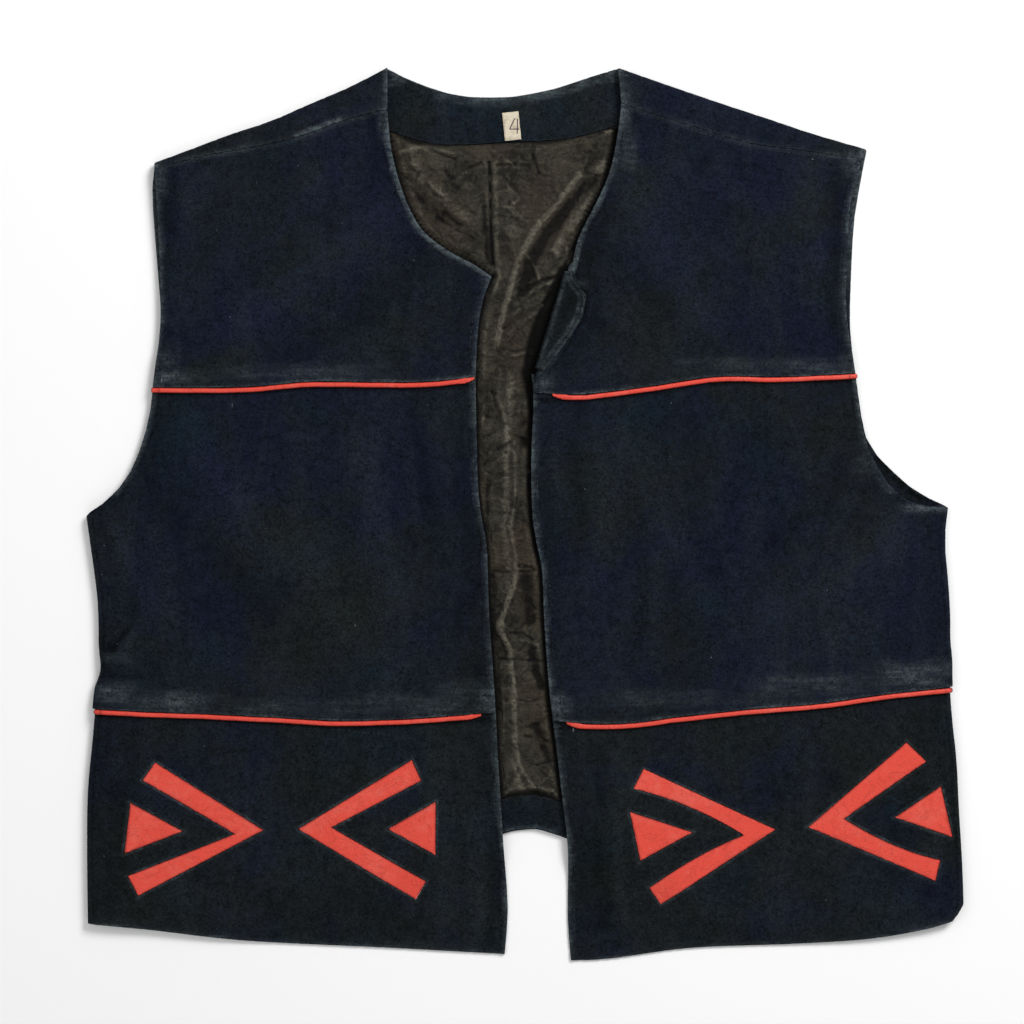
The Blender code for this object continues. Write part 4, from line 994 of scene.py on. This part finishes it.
def makeCloth(name, node, slot, material, stepAt, creases=(), puff=None, flatWithSides=False, wears=None,
              shade=None, relief=None, above=None, spots=(), tones=()):
    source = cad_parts[node].data
    bm = bmesh.new()
    bm.from_mesh(source)
    bmesh.ops.remove_doubles(bm, verts=bm.verts[:], dist=clothMaking["mergeWithin"] * mm)
    tagSides(bm)
    rims = [edge for edge in bm.edges if edgeSides(edge) == {2}]
    bmesh.ops.subdivide_edges(bm, edges=rims, cuts=1)
    bmesh.ops.triangulate(bm, faces=[face for face in bm.faces if len(face.verts) > 3])
    splitLong(bm, stepAt)
    bm.verts.index_update()
    bm.edges.index_update()

    points = np.array([vert.co[:] for vert in bm.verts]) / mm
    pairs = np.array([[edge.verts[0].index, edge.verts[1].index] for edge in bm.edges])
    sides = [edgeSides(edge) for edge in bm.edges]
    isTopRim = np.array([side == {0, 2} for side in sides])
    isLowRim = np.array([side == {1, 2} for side in sides])
    isEdgeBand = np.array([side == {2} for side in sides])
    isTopSheet = np.array([side == {0} for side in sides])
    isLowSheet = np.array([side == {1} for side in sides])
    onTopRim = np.zeros(len(points), bool)
    onTopRim[pairs[isTopRim].ravel()] = True
    onLowRim = np.zeros(len(points), bool)
    onLowRim[pairs[isLowRim].ravel()] = True
    onSheet = np.zeros(len(points), bool)
    onSheet[pairs[isTopSheet | isLowSheet | isTopRim | isLowRim].ravel()] = True
    onMiddle = ~onSheet
    inside = onSheet & ~onTopRim & ~onLowRim

    loops = walkLoops(pairs[isTopRim])
    lowLoops = walkLoops(pairs[isLowRim])
    pinned = np.zeros(len(points), bool)
    for loop in loops + lowLoops:
        corners = loopCorners(points, loop)
        pinned[np.array(loop)[corners]] = True
    middlePairs = pairs[isEdgeBand & onMiddle[pairs[:, 0]] & onMiddle[pairs[:, 1]]]

    # Round off the facets: freely in the flat, and without shrinking where the cloth turns
    bm.normal_update()
    normals = np.array([vert.normal[:] for vert in bm.verts])
    steep = inside & (np.abs(normals[:, 2]) < clothMaking["steepBelow"])
    for turn in range(clothMaking["roundTurns"]):
        mean, _ = meanOfNeighbours(points, pairs[~isEdgeBand])
        moved = points.copy()
        flat = inside & ~steep
        moved[flat] += (mean - points)[flat] * clothMaking["roundBy"]
        back = clothMaking["roundBy"] if turn % 2 == 0 else clothMaking["roundBack"]
        moved[steep] += (mean - points)[steep] * back
        for rimPairs, onRim in ((pairs[isTopRim], onTopRim), (pairs[isLowRim], onLowRim)):
            rimMean, _ = meanOfNeighbours(points, rimPairs)
            free = onRim & ~pinned
            moved[free] += (rimMean - points)[free] * back
        points = moved
    if len(middlePairs):
        toMiddle = isEdgeBand & (onMiddle[pairs[:, 0]] != onMiddle[pairs[:, 1]])
        mean, count = meanOfNeighbours(points, pairs[toMiddle])
        points[onMiddle & (count > 0)] = mean[onMiddle & (count > 0)]

    # Which way each point of the rim faces, and how far every point is from each kind of edge
    inward = np.zeros_like(points)
    for sheetPairs, onRim in ((pairs[isTopSheet], onTopRim), (pairs[isLowSheet], onLowRim)):
        mixed = sheetPairs[onRim[sheetPairs[:, 0]] != onRim[sheetPairs[:, 1]]]
        mean, count = meanOfNeighbours(points, mixed)
        rimHere = onRim & (count > 0)
        inward[rimHere] += (mean - points)[rimHere]
    for loop in loops + lowLoops:
        spot = points[loop]
        tangent = np.roll(spot, -1, axis=0) - np.roll(spot, 1, axis=0)
        tangent /= np.maximum(np.linalg.norm(tangent, axis=1), 1e-9)[:, None]
        there = inward[loop]
        there = there - tangent * np.einsum("ij,ij->i", there, tangent)[:, None]
        there /= np.maximum(np.linalg.norm(there, axis=1), 1e-9)[:, None]
        inward[loop] = (there + np.roll(there, 1, axis=0) + np.roll(there, -1, axis=0)) / 3
    inwardSide = 1 if points[:, 0].mean() < 0 else -1
    kinds = {}
    outer, lowOuter = (max(found, key=lambda loop: np.ptp(points[loop], axis=0)[:2].sum())
                       for found in (loops, lowLoops))
    for loop in loops + lowLoops:
        for vertex in loop:
            isOuter = loop is outer or loop is lowOuter
            kinds[vertex] = outwardKind(-inward[vertex], inwardSide) if isOuter else "window"
    gaps = {}
    for kind in ("opening", "top", "bottom", "side", "window"):
        wanted = {vertex for vertex, found in kinds.items() if found == kind}
        samples = [denseLine(points, loop, wanted) for loop in loops + lowLoops]
        gaps[kind] = nearestGaps(np.vstack(samples), points, clothMaking["gapReach"])

    # Relief: creases, a rolled edge and the ridge between rows of stitches
    fade = sideFade(points) if flatWithSides else 1.0
    rise = creaseRise(creases, points) * fade
    if puff:
        for kind, profile in puff.items():
            for at, width, height in profile:
                rise += height * np.exp(-(((gaps[kind] - at) / width) ** 2)) * fade
    # Painted shading for the materials: on the satin, lighter where a point stands above its surroundings and
    # darker where it lies below them, with the broad folds added as painted bands; on the suede, lighter on
    # the creases' ridges and darker in their troughs and stitch grooves
    if relief:
        rise = relief(points, rise)
        paintedShading = (rise - smoothedOver(rise, pairs[isTopSheet])) * crumpling["paintedShadingPerMm"]
        paintedShading = paintedShading + creaseRise(satinFolds, points) * crumpling["foldPaintedShading"]
    else:
        paintedShading = creaseRise(creases, points) * fade + seamShade(gaps, puff)
    # Painted shade in the crook below the piping of the tier above, and along the given lines of painted
    # shade
    if above:
        paintedShading = paintedShading + pipingShade(points, above)
    tone = creaseRise(tones, points)
    paintedShading = paintedShading + tone
    points[:, 2] += rise
    rimInset = onTopRim | onLowRim
    points[rimInset] += inward[rimInset] * clothMaking["edgeInset"]
    points[onTopRim, 2] -= clothMaking["edgeDrop"]

    for vert, spot in zip(bm.verts, points * mm):
        vert.co = spot
    for face in bm.faces:
        face.smooth = True
        face.material_index = 0
    bm.normal_update()
    mesh = bpy.data.meshes.new(name)
    bm.to_mesh(mesh)
    bm.free()

    wear = spotWear(points, spots)
    inNeck = smoothStep((points[:, 1] - wearZones["neckFrom"]) / wearZones["neckFade"])
    aboveArmpit = smoothStep((points[:, 1] - wearZones["armholeFrom"]) / wearZones["armholeFade"])
    for kind, rules in (wears or {}).items():
        low, high = (ruleWear(wearRules[rule], gaps[kind]) for rule in rules)
        share = inNeck if kind == "opening" else aboveArmpit
        wear = np.maximum(wear, low + (high - low) * share)
        if kind == "side":
            atArmpit = np.exp(-(((points[:, 1] - wearZones["armpit"]) / wearZones["armpitReach"]) ** 2))
            atArmpit = atArmpit * (points[:, 0] > 0) * aboveArmpit
            wear = np.maximum(wear, ruleWear(wearRules["armpit"], gaps[kind]) * atArmpit)
    if wears:
        wear[onMiddle] = np.maximum(wear[onMiddle], clothMaking["cutEdgeWear"])
    # No rubbed wear shows where the painted shade lines lie
    wear = wear * np.clip(1 + tone, 0, 1)
    values = {"wear": wear, "paintedShading": paintedShading}
    if slot in ("lining", "red_leather"):
        values["shade"] = shade(points, gaps) if shade else np.zeros(len(points))
    for label, numbers in values.items():
        layer = mesh.attributes.new(label, "FLOAT", "POINT")
        layer.data.foreach_set("value", numbers.astype(np.float32))
    piece = addPiece(name, mesh, (node,))
    mesh.materials.append(material)
    rimLine = {"points": points, "inward": inward, "outer": outer, "kinds": kinds}
    print(name, len(mesh.polygons), "faces")
    return piece, rimLine


def smoothedOver(heights, pairs):
    # The same heights, evened out over a few millimetres all round
    smooth = np.stack([heights] * 3, axis=1)
    for _ in range(crumpling["evenTurns"]):
        mean, count = meanOfNeighbours(smooth, pairs)
        smooth = np.where(count[:, None] > 0, (smooth + mean) / 2, smooth)
    return smooth[:, 0]


def seamShade(gaps, puff):
    # Painted shade in the stitch grooves, and in a band just inside each stitched edge but not a bottom edge
    tone = 0.0
    for kind, profile in (puff or {}).items():
        for at, width, height in profile:
            groove = np.exp(-(((gaps[kind] - at) / (width * paintedShadeTones["grooveWide"])) ** 2))
            tone = tone + paintedShadeTones["groove"] * min(height, 0) * groove
        inside = np.exp(-(((gaps[kind] - paintedShadeTones["insideAt"]) / paintedShadeTones["insideWide"]) ** 2))
        tone = tone - paintedShadeTones["inside"] * inside * (kind != "bottom")
    return tone


# Mesh sizes for each kind of cloth, in millimetres
def frontStep(middle, sides):
    return 3.4 if 0 in sides or 2 in sides else 7.0


def backStep(middle, sides):
    overShoulder = middle.z > 4.0 and middle.y > 190
    return 3.4 if overShoulder or 2 in sides else 8.0


def fineStep(middle, sides):
    return 2.2


def liningStep(middle, sides):
    if 1 in sides:
        return 9.0
    inNeck = -98 < middle.x < 72 and middle.y > 140
    inOpening = -42 < middle.x < 38
    return 1.5 if inNeck or inOpening else 9.0


def turnStep(middle, sides):
    atTurn = -4 < middle.x < 46 and 78 < middle.y < 172
    return 2.2 if atTurn else frontStep(middle, sides)


seamPuff = {
    "opening": ((1.8, 1.5, 0.30), (3.7, 0.7, -0.28)),
    "side": ((1.8, 1.5, 0.22), (3.7, 0.7, -0.22)),
    "bottom": ((4.8, 2.4, 0.26), (1.9, 0.6, -0.20), (8.0, 0.7, -0.16)),
}
hemPuff = dict(seamPuff, bottom=((2.6, 2.6, 0.30),))


yokeSuede = makeSuede("yokeSuede")
middleSuede = makeSuede("middleSuede")
lowerSuede = makeSuede("lowerSuede")
backSuede = makeSuede("backSuede")
facingSuede = makeSuede("facingSuede")
inlayLeather = makeRedLeather("inlayLeather", 0.55, 0.45)
pipingLeather = makeRedLeather("pipingLeather", 0.45, 0.30)
oliveSatin = makeSatin()
creamTape = makeTape()
suedeThread = makeThread("suedeThread", inks["thread"], inks["threadDusty"])
lapThread = makeThread("lapThread", inks["thread"], inks["threadDull"])
paleThread = makeThread("paleThread", inks["threadEnd"], inks["lint"])
pen = makeThread("penInk", inks["penInk"], inks["penFaded"])
print("materials made")

clothPieces = {}
rimLines = {}


def keepCloth(name, node, slot, material, stepAt, **more):
    clothPieces[name], rimLines[name] = makeCloth(name, node, slot, material, stepAt, **more)


def underFronts(points, words):
    # How far each point is, seen from above, from the fronts of one side or from the facings
    above = [clothPieces[name] for name in words]
    corners = np.vstack([np.array([vert.co[:] for vert in piece.data.vertices]) for piece in above]) / mm
    low, high = crumpling["box"][:2], crumpling["box"][2:]
    near = np.all((corners[:, :2] > low) & (corners[:, :2] < high), axis=1)
    return nearestGaps(corners[near] * (1, 1, 0), points * (1, 1, 0), crumpling["coverReach"])


# The shade at the satin's edges: how dark, how far it reaches, and over what it fades
satinShade = {
    "left": (0.97, 1.0, 3.2), "right": (0.92, 0.8, 1.8), "facing": (0.85, 0.4, 1.4),
    "cornerAt": 116, "cornerReach": 34, "cornerDeep": 7.5,
}


def frontShadow(points, gaps):
    # The satin lies in the shade of the raised edges, most of all under the turned-out corner
    right = underFronts(points, ("rightYoke", "rightMiddle", "rightLower"))
    left = underFronts(points, ("leftYoke", "leftMiddle", "leftLower", "turnedFacing"))
    facing = underFronts(points, ("neckFacing", "hemFacing"))
    corner = np.exp(-(((points[:, 1] - satinShade["cornerAt"]) / satinShade["cornerReach"]) ** 2))
    deeper = {"left": satinShade["cornerDeep"] * corner, "right": 0.0, "facing": 0.0}
    shade = np.zeros(len(points))
    for side, gap in (("left", left), ("right", right), ("facing", facing)):
        dark, start, fade = satinShade[side]
        shade = np.maximum(shade, dark * (1 - smoothStep((gap - start - deeper[side]) / fade)))
    return shade


def satinRelief(points, rise):
    covers = ("rightYoke", "rightMiddle", "rightLower", "leftYoke", "leftMiddle", "leftLower", "turnedFacing",
              "neckFacing", "hemFacing")
    room = smoothStep((underFronts(points, covers) - crumpling["clearFrom"]) / crumpling["clearOfEdges"])
    facets = sum(facetHeights(points, layer) for layer in crumpling["layers"])
    return room * (rise * crumpling["creaseScale"] + facets)


# Painted shade round the rims of the inlays: how dark, and over what distance it fades
inlayRim = {"dark": 0.55, "fade": 0.45}


def rimShade(points, gaps):
    gap = np.minimum.reduce([gaps[kind] for kind in gaps])
    return inlayRim["dark"] * np.exp(-gap / inlayRim["fade"])


keepCloth("suedeBack", "back", "suede", backSuede, backStep, creases=backCreases, spots=shoulderSpots,
          tones=backShadeLines,
          wears={"opening": ("seam", "neck"), "side": ("seam", "neck"), "top": ("backNeck", "backNeck"),
                 "bottom": ("hem", "shoulder")})
keepCloth("neckFacing", "back_neck_facing", "suede", facingSuede, fineStep, creases=backCreases[:1],
          wears={"top": ("backNeck", "backNeck")})
keepCloth("hemFacing", "back_hem_facing", "suede", facingSuede, frontStep, creases=backCreases[1:],
          wears={"bottom": ("lap", "lap")})
keepCloth("sizeTab", "size_label", "label", creamTape, lambda middle, sides: 1.2,
          wears={"bottom": ("lap", "lap"), "side": ("lap", "lap")})
openWears = {"opening": ("opening", "neck"), "side": ("seam", "armhole")}
for word, creases in (("right", rightCreases), ("left", leftCreases)):
    keepCloth(f"{word}Yoke", f"{word}_front_yoke", "suede", yokeSuede, spots=wornSpots,
              stepAt=turnStep if word == "left" else frontStep, creases=creases, puff=seamPuff,
              wears=dict(openWears, top=("shoulder", "shoulder"), bottom=("lap", "lap")))
    keepCloth(f"{word}Middle", f"{word}_front_middle", "suede", middleSuede, frontStep, creases=creases,
              puff=seamPuff, flatWithSides=True, spots=wornSpots, above=f"{word}Yoke",
              wears=dict(openWears, bottom=("lap", "lap")))
    keepCloth(f"{word}Lower", f"{word}_front_lower", "suede", lowerSuede, frontStep, creases=creases,
              puff=hemPuff, flatWithSides=True, above=f"{word}Middle",
              wears=dict(openWears, bottom=("hem", "hem"), window=("window", "window")))
    for motif in ("Outer", "Inner"):
        for shape in ("Chevron", "Triangle"):
            node = f"{word}_{motif.lower()}_{shape.lower()}"
            keepCloth(f"{word}{motif}{shape}", node, "red_leather", inlayLeather, fineStep,
                      creases=creases, flatWithSides=True, shade=rimShade)
turnedPuff = {"side": ((2.0, 0.6, -0.22),), "top": ((2.0, 0.6, -0.22),)}
keepCloth("turnedFacing", "left_front_facing", "suede", facingSuede, fineStep, creases=leftCreases,
          puff=turnedPuff, spots=wornSpots,
          wears={"side": ("turned", "turned"), "top": ("turned", "turned"), "bottom": ("opening", "opening")})
keepCloth("satinLining", "back_lining", "lining", oliveSatin, liningStep, creases=liningCreases,
          shade=frontShadow, relief=satinRelief)
print("cloth made")


# Piping: a rolled strip of leather, rounded from its CAD strip
pipingLook = {
    "step": 1.7, "roundTurns": 14, "roundBy": 0.5, "roundBack": -0.46,
    "slice": 4.0, "narrowed": 0.84, "tucked": 0.3, "blunt": 1.1, "bluntOver": 13,
    "sways": ((0.10, 9.0, 0.0), (0.05, 3.7, 1.0)),
    # where the painted shade on the piping's sides starts and fades, and the painted shade line across its
    # far end
    "shadedFrom": 0.45, "shadedOver": 0.5, "foldAt": 5.0, "foldWide": 0.8, "foldShade": 0.75,
}


def makePiping(name, node):
    bm = bmesh.new()
    bm.from_mesh(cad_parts[node].data)
    bmesh.ops.remove_doubles(bm, verts=bm.verts[:], dist=clothMaking["mergeWithin"] * mm)
    splitLong(bm, lambda middle, sides: pipingLook["step"])
    bm.verts.index_update()
    points = np.array([vert.co[:] for vert in bm.verts]) / mm
    pairs = np.array([[edge.verts[0].index, edge.verts[1].index] for edge in bm.edges])
    for turn in range(pipingLook["roundTurns"]):
        mean, _ = meanOfNeighbours(points, pairs)
        points = points + (mean - points) * pipingLook["roundBy" if turn % 2 == 0 else "roundBack"]
    along = points[:, 0] - points[:, 0].min()
    slices = (along / pipingLook["slice"]).astype(int)
    spine = np.bincount(slices, weights=points[:, 1]) / np.maximum(np.bincount(slices), 1)
    middle = np.interp(along, (np.arange(len(spine)) + 0.5) * pipingLook["slice"], spine)
    outer, inner = sorted((points[:, 0].min(), points[:, 0].max()), key=abs, reverse=True)
    fromInner = np.abs(points[:, 0] - inner)
    blunt = 1 + pipingLook["blunt"] * (1 - smoothStep(fromInner / pipingLook["bluntOver"]))
    points[:, 1] = middle + (points[:, 1] - middle) * pipingLook["narrowed"] * blunt + pipingLook["tucked"]
    for height, long, start in pipingLook["sways"]:
        points[:, 1] += height * np.sin(points[:, 0] / long + start)
    for vert, spot in zip(bm.verts, points * mm):
        vert.co = spot
    for face in bm.faces:
        face.smooth = True
        face.material_index = 0
    bm.normal_update()
    turned = np.array([abs(vert.normal.z) for vert in bm.verts])
    mesh = bpy.data.meshes.new(name)
    bm.to_mesh(mesh)
    bm.free()
    # Painted shade: the piping's sides, which turn away from straight up, are darkened
    layer = mesh.attributes.new("shade", "FLOAT", "POINT")
    shade = 1 - smoothStep((turned - pipingLook["shadedFrom"]) / pipingLook["shadedOver"])
    fromEnd = np.abs(points[:, 0] - outer)  # its far end is folded under; the dark line across it there is painted shade
    fold = np.exp(-(((fromEnd - pipingLook["foldAt"]) / pipingLook["foldWide"]) ** 2))
    shade = np.maximum(shade, pipingLook["foldShade"] * fold)
    layer.data.foreach_set("value", shade.astype(np.float32))
    piece = addPiece(name, mesh, (node,))
    mesh.materials.append(pipingLeather)
    return piece


for word in ("right", "left"):
    for tier in ("Upper", "Lower"):
        makePiping(f"{word}{tier}Piping", f"{word}_{tier.lower()}_piping")
print("piping made")


# Stitches: one short rounded stitch, copied along each row
def makeStitch():
    deselectAll()
    bpy.ops.mesh.primitive_uv_sphere_add(segments=6, ring_count=4, radius=0.5, location=(0, 0, 0))
    stitch = bpy.context.object
    bpy.ops.transform.rotate(value=math.pi / 2, orient_axis="Y", center_override=(0, 0, 0))
    bpy.ops.object.transform_apply(location=False, rotation=True, scale=False)
    size = (seams["stitchLong"] * mm, seams["threadThick"] * mm, seams["threadThick"] * mm)
    bpy.ops.transform.resize(value=size)
    bpy.ops.object.transform_apply(location=False, rotation=False, scale=True)
    points = np.array([v.co[:] for v in stitch.data.vertices])
    halfLong = seams["stitchLong"] * mm / 2
    points[:, 2] -= seams["dip"] * seams["threadThick"] * mm * (np.abs(points[:, 0]) / halfLong) ** 2
    faces = [tuple(face.vertices) for face in stitch.data.polygons]
    bpy.data.objects.remove(stitch)
    return points, faces


stitchPoints, stitchFaces = makeStitch()


def rowPlaces(clothName, kind, distance):
    # The ordered points of a row that runs inside one kind of edge, at a distance from it
    rim = rimLines[clothName]
    loop = rim["outer"]
    chosen = [rim["kinds"][vertex] == kind for vertex in loop]
    if not any(chosen):
        return []
    first = next((k for k in range(len(loop)) if chosen[k] and not chosen[k - 1]), 0)
    order = [(first + k) % len(loop) for k in range(len(loop))]
    runs, run = [], []
    for k in order:
        if chosen[k]:
            run.append(rim["points"][loop[k]] + rim["inward"][loop[k]] * distance)
        elif run:
            runs.append(np.array(run))
            run = []
    if run:
        runs.append(np.array(run))
    return [run for run in runs if len(run) > 4]


def edgeRow(clothName, kind, distance):
    return clothName, rowPlaces(clothName, kind, distance), distance * seams["clearOfEnds"]


def surfaceOf(piece):
    corners = [vert.co.copy() for vert in piece.data.vertices]
    return BVHTree.FromPolygons(corners, [tuple(face.vertices) for face in piece.data.polygons])


def sewRow(clothName, runs, margin, chance, places):
    tree = surfaceOf(clothPieces[clothName])
    for run in runs:
        steps = np.linalg.norm(np.diff(run, axis=0), axis=1)
        along = np.concatenate([[0], np.cumsum(steps)])
        for at in np.arange(margin, along[-1] - margin, seams["pitch"]):
            spot = np.array([np.interp(at, along, run[:, axis]) for axis in range(3)])
            ahead = np.array([np.interp(at + 1.0, along, run[:, axis]) for axis in range(3)])
            hit = tree.find_nearest(Vector((spot + (0, 0, seams["seekFrom"])) * mm))
            if hit[0] is None:
                continue
            normal = hit[1] if hit[1].z > 0 else -hit[1]
            forward = Vector(ahead - spot)
            forward = (forward - normal * forward.dot(normal)).normalized()
            lean = Vector((chance.normal(0, seams["lean"]), 0, 1))
            forward.rotate(Vector((0, 0, 1)).rotation_difference(lean))
            places.append((hit[0] + normal * seams["threadThick"] * mm * seams["raised"], forward, normal))


def sewAll(name, rows, thread, size=1.0):
    chance = np.random.default_rng(5)
    places = []
    for clothName, runs, margin in rows:
        sewRow(clothName, runs, margin, chance, places)
    points, faces = [], []
    for spot, forward, normal in places:
        sideways = normal.cross(forward)
        turn = np.array([forward[:], sideways[:], normal[:]])
        start = len(points) * len(stitchPoints)
        points.append(stitchPoints * size @ turn + np.array(spot))
        faces += [tuple(v + start for v in face) for face in stitchFaces]
    mesh = bpy.data.meshes.new(name)
    mesh.from_pydata(np.vstack(points).tolist(), [], faces)
    mesh.update()
    mesh.shade_smooth()
    piece = addPiece(name, mesh)
    mesh.materials.append(thread)
    print(name, len(places), "stitches")
    return piece


for word in ("right", "left"):
    tiers = (f"{word}Yoke", f"{word}Middle", f"{word}Lower")
    laps = [edgeRow(tier, "bottom", row) for tier in tiers[:2] for row in seams["lapRows"]]
    sewAll(f"{word}LapStitches", laps, lapThread)
    edges = [edgeRow(tier, "opening", seams["edgeRow"]) for tier in tiers]
    edges.append(edgeRow(tiers[0], "side", seams["edgeRow"]))
    edges.append(edgeRow(tiers[0], "top", seams["shoulderRow"]))
    sewAll(f"{word}EdgeStitches", edges, suedeThread)
# A short row of thread ends below the wearer's right lower piping
looseRow = np.array([(-119, -138, 8), (-102, -140, 8), (-85, -141, 8)], float)
sewAll("threadEnds", [("rightLower", [looseRow], 0)], paleThread, 0.5)
print("stitches sewn")


# The figure on the size tab, in three pen strokes laid on the tape
sizeFigure = {
    "strokes": (((1.9, 4.9), (-1.3, -2.0)), ((-1.4, -2.0), (4.8, -1.9)), ((3.7, 4.7), (3.5, -4.9))),
    "width": 0.66,
    "lift": 0.05,
}


def writeFigure():
    tree = surfaceOf(clothPieces["sizeTab"])
    low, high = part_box("size_label")
    middle = Vector(((low[0] + high[0]) / 2, (low[1] + high[1]) / 2, 0))
    strokes = []
    for start, end in sizeFigure["strokes"]:
        run = Vector((*end, 0)) - Vector((*start, 0))
        deselectAll()
        bpy.ops.mesh.primitive_grid_add(x_subdivisions=9, y_subdivisions=2, size=1)
        stroke = bpy.context.object
        stroke.scale = (run.length * mm, sizeFigure["width"] * mm, 1)
        stroke.rotation_euler.z = math.atan2(run.y, run.x)
        stroke.location = middle + (Vector((*start, 0)) + run / 2) * mm
        bpy.ops.object.transform_apply(location=True, rotation=True, scale=True)
        strokes.append(stroke)
    makeActive(strokes[0])
    for stroke in strokes:
        stroke.select_set(True)
    bpy.ops.object.join()
    mesh = bpy.context.object.data
    for vert in mesh.vertices:
        hit = tree.ray_cast(Vector((vert.co.x, vert.co.y, 0.05)), Vector((0, 0, -1)))
        vert.co.z = (hit[0].z if hit[0] else high[2]) + sizeFigure["lift"] * mm
    mesh = mesh.copy()
    bpy.data.objects.remove(bpy.context.object)
    piece = addPiece("sizeFigure", mesh)
    mesh.materials.append(pen)
    return piece


figure = writeFigure()
# Floor, camera and light
stageSetup = {
    "floorSize": 6.0,
    "cameraHeight": 1.8,
    "sensor": 36,
    "viewWidth": 0.65536,
    "viewMiddle": (-0.00832, 0.00146, 0.005),
    "world": 0.34,
    "lights": (
        # place, size and power of each soft light
        ((1.1, 1.3, 1.5), 0.9, 47),
        ((-1.3, 0.1, 1.8), 1.4, 9),
        ((0.1, -1.5, 1.6), 1.4, 5),
    ),
}


def makeStage():
    deselectAll()
    bpy.ops.mesh.primitive_plane_add(size=stageSetup["floorSize"], location=(0, 0, 0))
    floor = bpy.context.object
    floor.name = "floor"
    made, tree, sockets, place = newMaterial("paleFloor", 0.9, 0.1)
    soft = noise(tree, place, 3.0, 2.0, 0.5)
    tree.links.new(mixColour(tree, soft, inks["floor"], inks["floorDull"]), sockets["Base Color"])
    floor.data.materials.append(made)

    world = bpy.data.worlds.new("studio")
    world.use_nodes = True
    world.node_tree.nodes["Background"].inputs["Color"].default_value = (1, 1, 1, 1)
    world.node_tree.nodes["Background"].inputs["Strength"].default_value = stageSetup["world"]
    scene.world = world
    middle = Vector(stageSetup["viewMiddle"])
    for number, (place, size, power) in enumerate(stageSetup["lights"]):
        data = bpy.data.lights.new(f"softLight{number}", "AREA")
        data.size = size
        data.energy = power
        light = bpy.data.objects.new(f"softLight{number}", data)
        scene.collection.objects.link(light)
        light.location = place
        light.rotation_euler = (middle - Vector(place)).to_track_quat("-Z", "Y").to_euler()
    data = bpy.data.cameras.new("camera")
    data.sensor_width = stageSetup["sensor"]
    data.lens = stageSetup["sensor"] * (stageSetup["cameraHeight"] - middle.z) / stageSetup["viewWidth"]
    camera = bpy.data.objects.new("camera", data)
    scene.collection.objects.link(camera)
    camera.location = (middle.x, middle.y, stageSetup["cameraHeight"])
    scene.camera = camera
    scene.view_settings.view_transform = "Standard"
    scene.view_settings.look = "None"


makeStage()
print("stage set")
